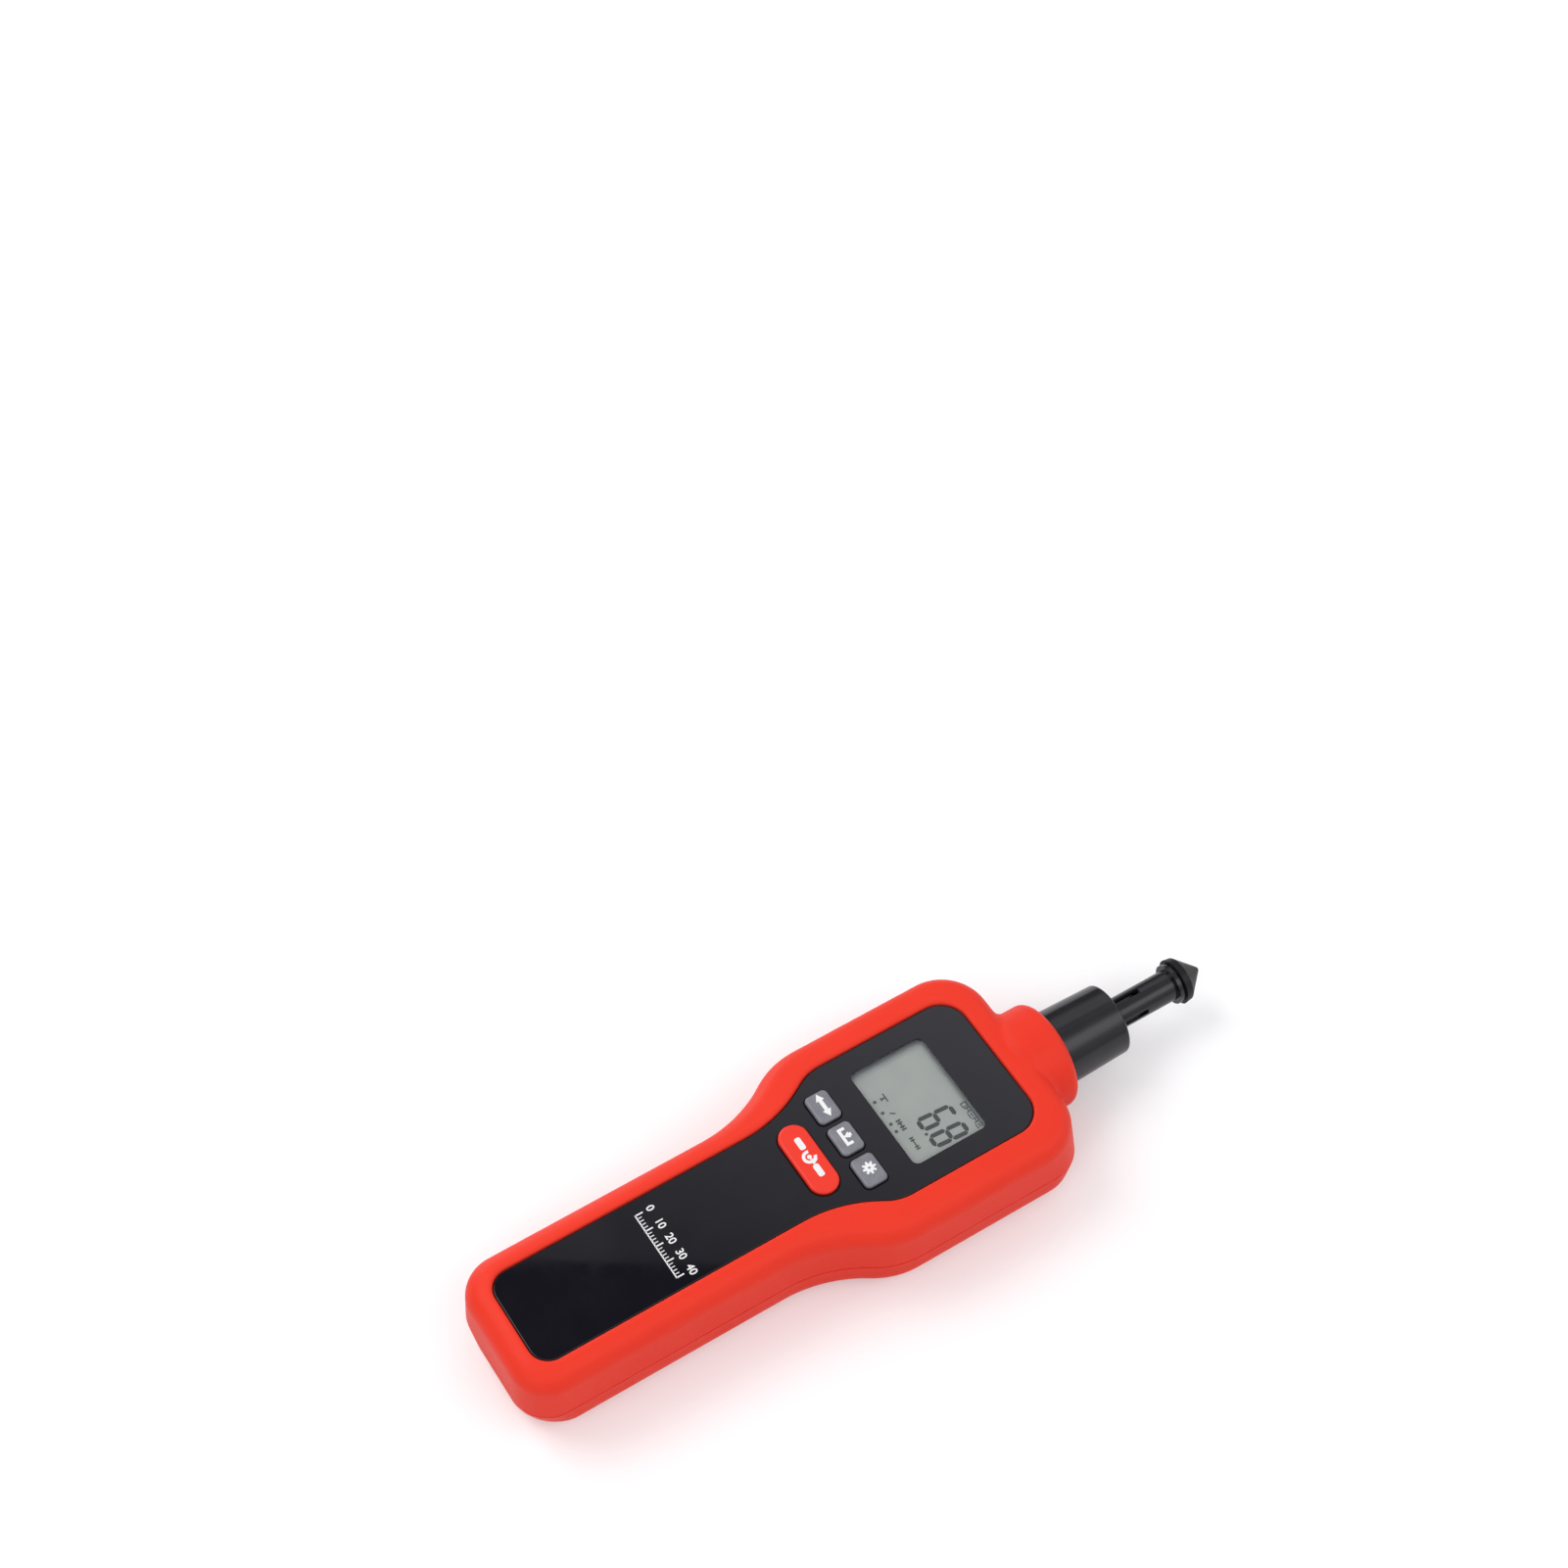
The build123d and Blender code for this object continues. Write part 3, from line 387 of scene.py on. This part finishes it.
plain = {name: makePlain(name, s) for name, s in plainSettings.items()}
turned = {name: makeTurned(name, s) for name, s in turnedSettings.items()}
dress(makeRed("red_shell", caseRed), "front_shell", "rear_shell", "battery_cover")
dress(makeRed("red_rubber", keyRed), "measure_key")
dress(makeGlossBlack("black_panel", plateBlack), "front_panel")
dress(makeClear("clear_lens", windowClear), "window_lens")
dress(makeDisplayGlass("display", displayFace), "lcd_glass")
dress(makeKeyRubber("grey_rubber", keyGrey), "mode_key", "memory_key", "light_key")
dress(makeStripedRubber("pale_rubber", stripRubber), "zebra_strips")
dress(makeBoard("board_green", boardGreen), "circuit_board", "sensor_board")
dress(plain["white_plastic"], "backlight")
dress(plain["white_plastic"], "measure_plunger", "mode_plunger", "memory_plunger", "light_plunger")
dress(plain["dark_plastic"], "microcontroller", "optical_sensor", "header_strip")
dress(plain["dark_plastic"], "tact_switches", "encoder_disc")
dress(plain["black_plastic"], "nose_sleeve", "tip_adapter")
dress(plain["black_rubber"], "cone_tip")
dress(plain["steel"], "crystal", "retaining_clip", "cover_screw", "case_screws", "board_screws")
dress(plain["brass"], "header_pins", "battery_contacts")
dress(plain["battery_case"], "battery")
dress(turned["turned_steel"], "spindle", "bearing_outer_rings", "bearing_inner_rings")
dress(turned["spacer_metal"], "bearing_spacer")
say("finishes on the packed solids")


# modelling hands
def clearSelection():
    if bpy.context.object and bpy.context.object.mode != "OBJECT":
        bpy.ops.object.mode_set(mode="OBJECT")
    bpy.ops.object.select_all(action="DESELECT")


def settle(obj):  # the piece's place goes into its mesh
    clearSelection()
    obj.select_set(True)
    bpy.context.view_layer.objects.active = obj
    bpy.ops.object.transform_apply(location=True, rotation=True, scale=True)
    return obj


def gather(pieces, name):  # several meshes become one piece
    clearSelection()
    for piece in pieces:
        piece.select_set(True)
    bpy.context.view_layer.objects.active = pieces[0]
    bpy.ops.object.join()
    joined = bpy.context.view_layer.objects.active
    joined.name = joined.data.name = name
    return settle(joined)


def twin(obj, shift):  # a copy with its own mesh, moved
    other = obj.copy()
    other.data = obj.data.copy()
    bpy.context.scene.collection.objects.link(other)
    other.data.transform(Matrix.Translation(Vector(shift)))
    return other


def coat(obj, material, body):
    obj.data.materials.clear()
    obj.data.materials.append(material)
    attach(obj, body)
    return obj


def startEdit():
    bpy.ops.object.mode_set(mode="EDIT")
    bpy.ops.mesh.select_all(action="SELECT")


def thicken(thick):  # the flat faces in edit get their thickness, and the edit ends
    bpy.ops.mesh.select_all(action="SELECT")
    bpy.ops.mesh.extrude_region_move(TRANSFORM_OT_translate={"value": (0, 0, thick)})
    bpy.ops.mesh.select_all(action="SELECT")
    bpy.ops.mesh.normals_make_consistent(inside=False)
    bpy.ops.object.mode_set(mode="OBJECT")


pointShare = 0.46  # of a bar's smaller side, cut off at each corner of a pointed bar


def inkBar(x, y, z, width, length, thick, turn=0.0, corner=0.0, points=False):  # its ends pointed or rounded
    clearSelection()
    bpy.ops.mesh.primitive_plane_add(size=1, location=(x, y, z))
    bar = bpy.context.object
    bar.scale = (width, length, 1)
    bar.rotation_euler = (0, 0, turn)
    settle(bar)
    startEdit()
    if points:
        bpy.ops.mesh.bevel(offset=min(width, length) * pointShare, affect="VERTICES", segments=1)
    elif corner:
        bpy.ops.mesh.bevel(offset=corner, affect="VERTICES", segments=3)
    thicken(thick)
    return bar


def inkRing(x, y, z, radius, width, thick, start, sweep, steps):  # angles in degrees, from +X
    begin = math.radians(start)
    sliver, mergeSliver, mergeSeam = 1e-6, 1e-5, 1e-6
    clearSelection()
    at = (x + radius * math.cos(begin), y + radius * math.sin(begin), z)
    bpy.ops.mesh.primitive_plane_add(size=1, location=at)
    ring = bpy.context.object
    ring.scale = (width, sliver, 1)
    ring.rotation_euler = (0, 0, begin)
    settle(ring)
    startEdit()
    bpy.ops.mesh.remove_doubles(threshold=mergeSliver)
    bpy.ops.mesh.select_all(action="SELECT")
    bpy.ops.mesh.spin(steps=steps, angle=math.radians(sweep), center=(x, y, z), axis=(0, 0, 1))
    bpy.ops.mesh.select_all(action="SELECT")
    bpy.ops.mesh.remove_doubles(threshold=mergeSeam)
    thicken(thick)
    return ring


def inkDisc(x, y, z, radius, thick, sides, turn=0.0):  # with three sides, an arrow head that points along +Y
    at = (x, y, z)
    clearSelection()
    bpy.ops.mesh.primitive_circle_add(
        vertices=sides, radius=radius, fill_type="NGON", location=at, rotation=(0, 0, turn))
    disc = settle(bpy.context.object)
    startEdit()
    thicken(thick)
    return disc


inkSettings = {
    "segment_ink": {"colour": (40, 44, 46), "roughness": 0.35},
    "faint_ink": {"colour": (58, 62, 63), "roughness": 0.4},
    "white_ink": {"colour": (240, 240, 240), "roughness": 0.5},
}
inkLook = {"fade": 0.93, "swing": 0.05, "grain": 0.3, "depth": 0.002}  # what all inks share


def makeInk(name, s):
    f = Finish(name)
    fine = f.noise(inkLook["grain"] * mm, 2)
    faded = [level * inkLook["fade"] for level in s["colour"]]
    colour = f.blend(f.spread(fine, 0.3, 0.7), tint(*s["colour"]), tint(*faded))
    rough = f.spread(fine, 0.3, 0.7, s["roughness"] - inkLook["swing"], s["roughness"] + inkLook["swing"])
    bump = f.bump(fine, inkLook["depth"] * mm, 0.3)
    return f.done(f.shaded(Base_Color=colour, Roughness=rough, Normal=bump))


inks = {name: makeInk(name, s) for name, s in inkSettings.items()}

# display segments, in millimetres; a printed piece sinks a little into the face that it lies on
display = {
    "reading": "68", "centres": (6.65, 12.73), "bottom": 14.75, "height": 11.3, "width": 4.7, "stroke": 1.28,
    "lean": 4.0, "gap": 0.16, "thick": 0.03, "sink": 0.005,
    "pointAcross": 9.45, "pointLift": 0.45, "pointSize": 0.85, "pointCorner": 0.2,
}
lit = {"6": "acdefg", "8": "abcdefg"}  # a to f go round from the top, g lies in the middle
rise = {"a": 1, "d": -1, "g": 0, "b": 0.5, "f": 0.5, "c": -0.5, "e": -0.5}
sideOf = {"a": 0, "d": 0, "g": 0, "b": 1, "c": 1, "f": -1, "e": -1}


def makeDigits(s):
    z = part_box("lcd_glass")[1].z - s["sink"] * mm
    lean = math.radians(s["lean"])
    w, h, t = (s["width"] - s["stroke"]) * mm, (s["height"] - s["stroke"]) * mm, s["stroke"] * mm
    gap, thick = s["gap"] * mm, s["thick"] * mm
    middle = (s["bottom"] + s["height"] / 2) * mm
    # one lying segment and one standing one, copied to their places
    level = inkBar(0, 0, z, w - 2 * gap, t, thick, points=True)
    upright = inkBar(0, 0, z, t, h / 2 - 2 * gap, thick, -lean, points=True)
    parts = []
    for digit, centre in zip(s["reading"], s["centres"]):
        for letter in lit[digit]:
            up, side = rise[letter], sideOf[letter]
            y = middle + up * h / 2
            x = centre * mm + side * w / 2 + math.tan(lean) * up * h / 2
            parts.append(twin(level if letter in "adg" else upright, (x, y, 0)))
    x, y = s["pointAcross"] * mm, (s["bottom"] + s["pointLift"]) * mm
    size, corner = s["pointSize"] * mm, s["pointCorner"] * mm
    parts.append(inkBar(x, y, z, size, size, thick, corner=corner))
    bpy.data.objects.remove(level)
    bpy.data.objects.remove(upright)
    return coat(gather(parts, "display_digits"), inks["segment_ink"], "case")


marks = {
    "thick": 0.03, "sink": 0.005,
    # the small row above the digits: each sign by its strokes, left, right, top, bottom and middle
    "row": ("lrtb", "lrtm", "mtb", "lrtm", "tmb"), "rowStart": 7.15, "rowPitch": 1.88, "rowHeight": 29.1,
    "tall": 1.55, "wide": 1.3, "stroke": 0.36,
    # the marks below the digits: x, y, width, length, and the turn in degrees
    "bars": (
        (-6.2, 12.05, 2.9, 0.42, 0), (-6.2, 11.5, 0.5, 0.9, 0), (-0.9, 11.0, 0.42, 1.6, -35),
        (1.8, 11.0, 0.55, 1.5, 0), (2.7, 11.0, 0.55, 1.5, 0),
        (4.0, 11.0, 0.55, 1.5, 0), (4.9, 11.0, 0.55, 1.5, 0),
        (3.35, 11.0, 2.4, 0.42, 0),
        (8.2, 11.0, 0.42, 1.3, 0), (9.0, 11.0, 0.42, 1.3, 0),
        (11.2, 11.0, 0.42, 1.3, 0), (12.0, 11.0, 0.42, 1.3, 0),
        (10.1, 11.0, 3.4, 0.38, 0),
    ),
    # an arrow head and four dots: x, y, radius and sides
    "dots": (
        (-6.2, 10.9, 0.72, 3), (-6.4, 8.75, 0.55, 12), (-2.4, 8.75, 0.55, 12), (1.7, 8.75, 0.55, 12),
        (4.4, 8.75, 0.55, 12),
    ),
}


def makeMarks(s):
    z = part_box("lcd_glass")[1].z - s["sink"] * mm
    thick, tall, wide, stroke = s["thick"] * mm, s["tall"], s["wide"], s["stroke"]
    strokes = {
        "l": (-wide / 2, 0, stroke, tall), "r": (wide / 2, 0, stroke, tall), "m": (0, 0, wide, stroke),
        "t": (0, tall / 2, wide + stroke, stroke), "b": (0, -tall / 2, wide + stroke, stroke),
    }
    parts = []
    for k, letters in enumerate(s["row"]):
        x, y = s["rowStart"] + s["rowPitch"] * k, s["rowHeight"]
        for letter in letters:
            across, up, width, length = strokes[letter]
            parts.append(inkBar((x + across) * mm, (y + up) * mm, z, width * mm, length * mm, thick))
    for x, y, width, length, turn in s["bars"]:
        parts.append(inkBar(x * mm, y * mm, z, width * mm, length * mm, thick, math.radians(turn)))
    for x, y, radius, sides in s["dots"]:
        parts.append(inkDisc(x * mm, y * mm, z, radius * mm, thick, sides))
    return coat(gather(parts, "display_marks"), inks["faint_ink"], "case")


makeDigits(display)
makeMarks(marks)
say("display segments")

# printed signs on the keys, in millimetres
# crossing strokes differ in thickness, so that their tops don't lie in one plane
signInk = {"thick": 0.03, "over": 1.2, "under": 0.9, "sink": 0.01}
modeSign = {"at": (-11.7, -4.54), "shaft": (4.4, 1.15), "head": 1.5, "headAcross": 2.4}
memorySign = {
    "at": (-0.3, -4.54), "base": (5.7, 0.9), "baseDrop": 0.95, "wall": (0.9, 2.0), "wallAcross": 2.4,
    "wallDrop": 0.2, "shaft": (1.1, 0.9), "shaftLift": 1.15, "head": 1.2, "headLift": 0.4,
}
lightSign = {"at": (11.2, -4.54), "ring": 0.86, "ringWidth": 1.0, "rays": 8, "ray": (0.8, 0.66), "reach": 1.6}
measureSign = {
    "at": (-0.17, -16.4), "ring": 1.62, "ringWidth": 0.92, "ringStart": 80, "ringSweep": 280, "hub": 0.66,
    "shaft": (4.1, 1.8), "shaftAcross": 4.75, "shaftCorner": 0.6, "head": 1.25, "headLift": 0.4,
}


def sized(values):
    return [value * mm for value in values]


def makeModeSign(s, ink, top):  # an arrow with two heads, for changing over
    thick, (x, y), (width, length) = ink["thick"] * mm, sized(s["at"]), sized(s["shaft"])
    arrows = [inkBar(x, y, top, width, length, thick)]
    for side in (-1, 1):
        headAt = x + side * s["headAcross"] * mm
        arrows.append(inkDisc(headAt, y, top, s["head"] * mm, thick * ink["over"], 3, -side * math.pi / 2))
    coat(gather(arrows, "mode_sign"), inks["white_ink"], "mode_button")


def makeMemorySign(s, ink, top):  # a tray with an arrow into it, for keeping a reading
    thick, (x, y) = ink["thick"] * mm, sized(s["at"])
    width, length = sized(s["base"])
    tray = [inkBar(x, y - s["baseDrop"] * mm, top, width, length, thick)]
    width, length = sized(s["wall"])
    for side in (-1, 1):
        wallAt = x + side * s["wallAcross"] * mm
        tray.append(inkBar(wallAt, y - s["wallDrop"] * mm, top, width, length, thick * ink["under"]))
    width, length = sized(s["shaft"])
    tray.append(inkBar(x, y + s["shaftLift"] * mm, top, width, length, thick))
    tray.append(inkDisc(x, y + s["headLift"] * mm, top, s["head"] * mm, thick * ink["over"], 3, math.pi))
    coat(gather(tray, "memory_sign"), inks["white_ink"], "memory_button")


def makeLightSign(s, ink, top):  # a sun
    thick, (x, y), (length, width) = ink["thick"] * mm, sized(s["at"]), sized(s["ray"])
    reach = s["reach"] * mm
    sun = [inkRing(x, y, top, s["ring"] * mm, s["ringWidth"] * mm, thick, 0, 360, 32)]
    for k in range(s["rays"]):
        angle = 2 * math.pi * k / s["rays"]
        rayX, rayY = x + reach * math.cos(angle), y + reach * math.sin(angle)
        sun.append(inkBar(rayX, rayY, top, length, width, thick * ink["under"], angle))
    coat(gather(sun, "light_sign"), inks["white_ink"], "light_button")


def makeMeasureSign(s, ink, top):  # a turning shaft
    thick, (x, y), (width, length) = ink["thick"] * mm, sized(s["at"]), sized(s["shaft"])
    ring = s["ring"] * mm
    shaft = [inkRing(x, y, top, ring, s["ringWidth"] * mm, thick, s["ringStart"], s["ringSweep"], 28)]
    shaft.append(inkDisc(x, y, top, s["hub"] * mm, thick, 20))
    for side in (-1, 1):
        shaftAt = x + side * s["shaftAcross"] * mm
        shaft.append(inkBar(shaftAt, y, top, width, length, thick, corner=s["shaftCorner"] * mm))
    shaft.append(inkDisc(x + ring, y + s["headLift"] * mm, top, s["head"] * mm, thick * ink["over"], 3))
    coat(gather(shaft, "measure_sign"), inks["white_ink"], "measure_button")


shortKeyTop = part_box("mode_key")[1].z - signInk["sink"] * mm
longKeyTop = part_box("measure_key")[1].z - signInk["sink"] * mm
makeModeSign(modeSign, signInk, shortKeyTop)
makeMemorySign(memorySign, signInk, shortKeyTop)
makeLightSign(lightSign, signInk, shortKeyTop)
makeMeasureSign(measureSign, signInk, longKeyTop)

# scale printed on the plate, in millimetres; a tick is its width and its length
scale = {
    "middle": 0.45, "half": 10.75, "line": -65.0, "lineWidth": 0.36, "overhang": 0.4,
    "thick": 0.02, "sink": 0.01,
    "steps": 20, "longEvery": 5, "longTick": (0.42, 2.3), "shortTick": (0.26, 1.4),
    "numbers": ("0", "10", "20", "30", "40"), "numberSize": 3.2, "numberLift": 3.6, "numberSwell": 0.05,
}


def makePlateScale(s):
    z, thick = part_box("front_panel")[1].z - s["sink"] * mm, s["thick"] * mm
    start, width = (s["middle"] - s["half"]) * mm, 2 * s["half"] * mm
    lineLength = width + s["overhang"] * mm
    parts = [inkBar(s["middle"] * mm, s["line"] * mm, z, lineLength, s["lineWidth"] * mm, thick)]
    for k in range(s["steps"] + 1):
        across, tall = s["shortTick"] if k % s["longEvery"] else s["longTick"]
        y = (s["line"] + tall / 2) * mm
        parts.append(inkBar(start + width * k / s["steps"], y, z, across * mm, tall * mm, thick))
    lastNumber = len(s["numbers"]) - 1
    for k, word in enumerate(s["numbers"]):
        at = (start + width * k / lastNumber, (s["line"] + s["numberLift"]) * mm, z)
        clearSelection()
        bpy.ops.object.text_add(location=at)
        number = bpy.context.object.data
        number.body, number.size, number.align_x = word, s["numberSize"] * mm, "CENTER"
        number.extrude, number.offset = thick, s["numberSwell"] * mm
        bpy.ops.object.convert(target="MESH")
        parts.append(settle(bpy.context.object))
    return coat(gather(parts, "plate_scale"), inks["white_ink"], "case")


makePlateScale(scale)
say("signs and scale")

# studio
floorSet = {
    "side": 6.0, "tone": 0.83, "drop": 0.05 * mm,
    "lift": 0.18, "farLift": 0.6, "liftFrom": 0.35, "liftTo": 0.9,
}


def makeFloor(s):  # lit a little from within for the camera alone, more so further off
    clearSelection()
    bpy.ops.mesh.primitive_plane_add(size=s["side"], location=(0, 0, -s["drop"]))
    floor = bpy.context.object
    floor.name = "studio_floor"
    settle(floor)
    f = Finish("studio_floor")
    ray = f.add("ShaderNodeLightPath", output="Is Camera Ray")
    bare = f.add("ShaderNodeBsdfDiffuse", None, {"Color": (s["tone"],) * 3 + (1,)})
    away = f.add("ShaderNodeVectorMath", {"operation": "LENGTH"}, {0: f.place()}, "Value")
    strength = ray * (s["lift"] + f.spread(away, s["liftFrom"], s["liftTo"], 0.0, s["farLift"]))
    glow = f.add("ShaderNodeEmission", None, {"Color": (1, 1, 1, 1), "Strength": strength})
    floor.data.materials.append(f.done(f.add("ShaderNodeAddShader", None, {0: bare, 1: glow})))


# brightness round the nose's axis, from +X over the top to -X; dimmer towards the tail
room = {
    "tones": (
        (0.0, 0.24), (0.16, 0.36), (0.24, 0.9), (0.34, 0.95), (0.41, 0.34), (0.48, 0.24),
        (0.58, 0.34), (0.66, 0.42), (0.78, 0.42), (0.87, 0.12), (1.0, 0.05),
    ),
    "gain": 2.1, "tailFrom": -0.35, "tailTo": 0.1, "tailShare": 0.55, "hue": (0.985, 0.975, 1.0, 1),
}
# the card that the plate mirrors: dark on one side of a slanting edge, rising in brightness on the other
card = {
    "way": (-0.412, 0.250, 0.876), "outerAngle": 15, "innerAngle": 9, "dark": 0.045,
    "hue": (0.94, 0.92, 1.0, 1),
    "riseX": 6.4, "riseY": 6.2, "riseStart": 3.66, "dimmest": 0.25, "brightest": 1.1,
    "edgeX": 0.400, "edgeY": 0.229, "edgeSlope": 1.606, "edgeSoft": 0.0012,
    "glint": 0.16, "glintWay": (-0.4306, 0.1825, 0.884), "glintOuter": 1.2, "glintInner": 0.4,
}


def cosine(degrees):
    return math.cos(math.radians(degrees))


def makeSky(r, c):  # bands of light along the nose's axis, and the card over the plate
    world = bpy.data.worlds.new("studio_room")
    bpy.context.scene.world = world
    world.use_nodes = True
    f = Finish("studio_room", world.node_tree)
    x, y, z = f.axes(f.add("ShaderNodeTexCoord", output="Generated"))
    around = z.joined("ARCTAN2", z, x) / math.pi
    stops = [(place, (tone, tone, tone, 1)) for place, tone in r["tones"]]
    roomLight = f.add("ShaderNodeValToRGB", {"stops": stops}, {"Fac": around}, "Color") * r["gain"]
    roomLight = roomLight * f.spread(y, r["tailFrom"], r["tailTo"], r["tailShare"], 1.0)
    bright = (y * c["riseY"] - x * c["riseX"] - c["riseStart"]).most(c["dimmest"]).least(c["brightest"])
    glintX, glintY, glintZ = c["glintWay"]
    toGlint = y * glintY + z * glintZ + x * glintX
    glint = f.spread(toGlint, cosine(c["glintOuter"]), cosine(c["glintInner"]), 0.0, c["glint"])
    edge = (y - c["edgeY"]) - (x + c["edgeX"]) * c["edgeSlope"]
    cardLight = c["dark"] + f.spread(edge, -c["edgeSoft"], c["edgeSoft"]) * (bright + glint - c["dark"])
    cardX, cardY, cardZ = c["way"]
    toCard = x * cardX + y * cardY + z * cardZ
    share = f.spread(toCard, cosine(c["outerAngle"]), cosine(c["innerAngle"]))
    strength = roomLight + (cardLight - roomLight) * share
    hue = f.blend(share, r["hue"], c["hue"])
    soft = f.add("ShaderNodeBackground", None, {"Color": hue, "Strength": strength})
    white = f.add("ShaderNodeBackground", None, {"Color": (1, 1, 1, 1), "Strength": 1.0})
    ray = f.add("ShaderNodeLightPath", output="Is Camera Ray")
    sky = f.add("ShaderNodeMixShader", None, {0: ray, 1: soft, 2: white})
    end = f.tree.nodes.new("ShaderNodeOutputWorld")
    f.tree.links.new(sky.socket, end.inputs["Surface"])


def aim(obj, target):
    obj.rotation_mode = "QUATERNION"
    obj.rotation_quaternion = (Vector(target) - obj.location).to_track_quat("-Z", "Y")


lamps = {
    "leftLamp": {"at": (-0.65, -0.55, 1.2), "watts": 7.0, "size": 0.8},
    "rimLamp": {"at": (-1.1, -0.08, 0.2), "watts": 4.5, "size": 0.6},
    "tailLamp": {"at": (0.35, -1.0, 1.0), "watts": 3.0, "size": 0.9},
}
lampTarget = (0, -0.02, 0.015)


def makeLamps(lampSet):
    for name, s in lampSet.items():
        light = bpy.data.lights.new(name, "AREA")
        light.energy, light.size = s["watts"], s["size"]
        lamp = bpy.data.objects.new(name, light)
        bpy.context.scene.collection.objects.link(lamp)
        lamp.location = s["at"]
        aim(lamp, lampTarget)


view = {
    "at": (0.3442, -0.24095, 0.7604), "target": (-0.1102, 0.04465, 0.0292), "near": 0.01,
    "focalPixels": 3150, "widthPixels": 1601, "sensor": 36.0,
}


def makeCamera(s):
    lens = bpy.data.cameras.new("studioCamera")
    lens.lens = s["focalPixels"] / s["widthPixels"] * s["sensor"]
    lens.sensor_width, lens.clip_start = s["sensor"], s["near"]
    camera = bpy.data.objects.new("studioCamera", lens)
    bpy.context.scene.collection.objects.link(camera)
    camera.location = s["at"]
    aim(camera, s["target"])
    bpy.context.scene.camera = camera


makeFloor(floorSet)
makeSky(room, card)
makeLamps(lamps)
makeCamera(view)
bpy.context.scene.view_settings.view_transform = "Standard"
say("studio")
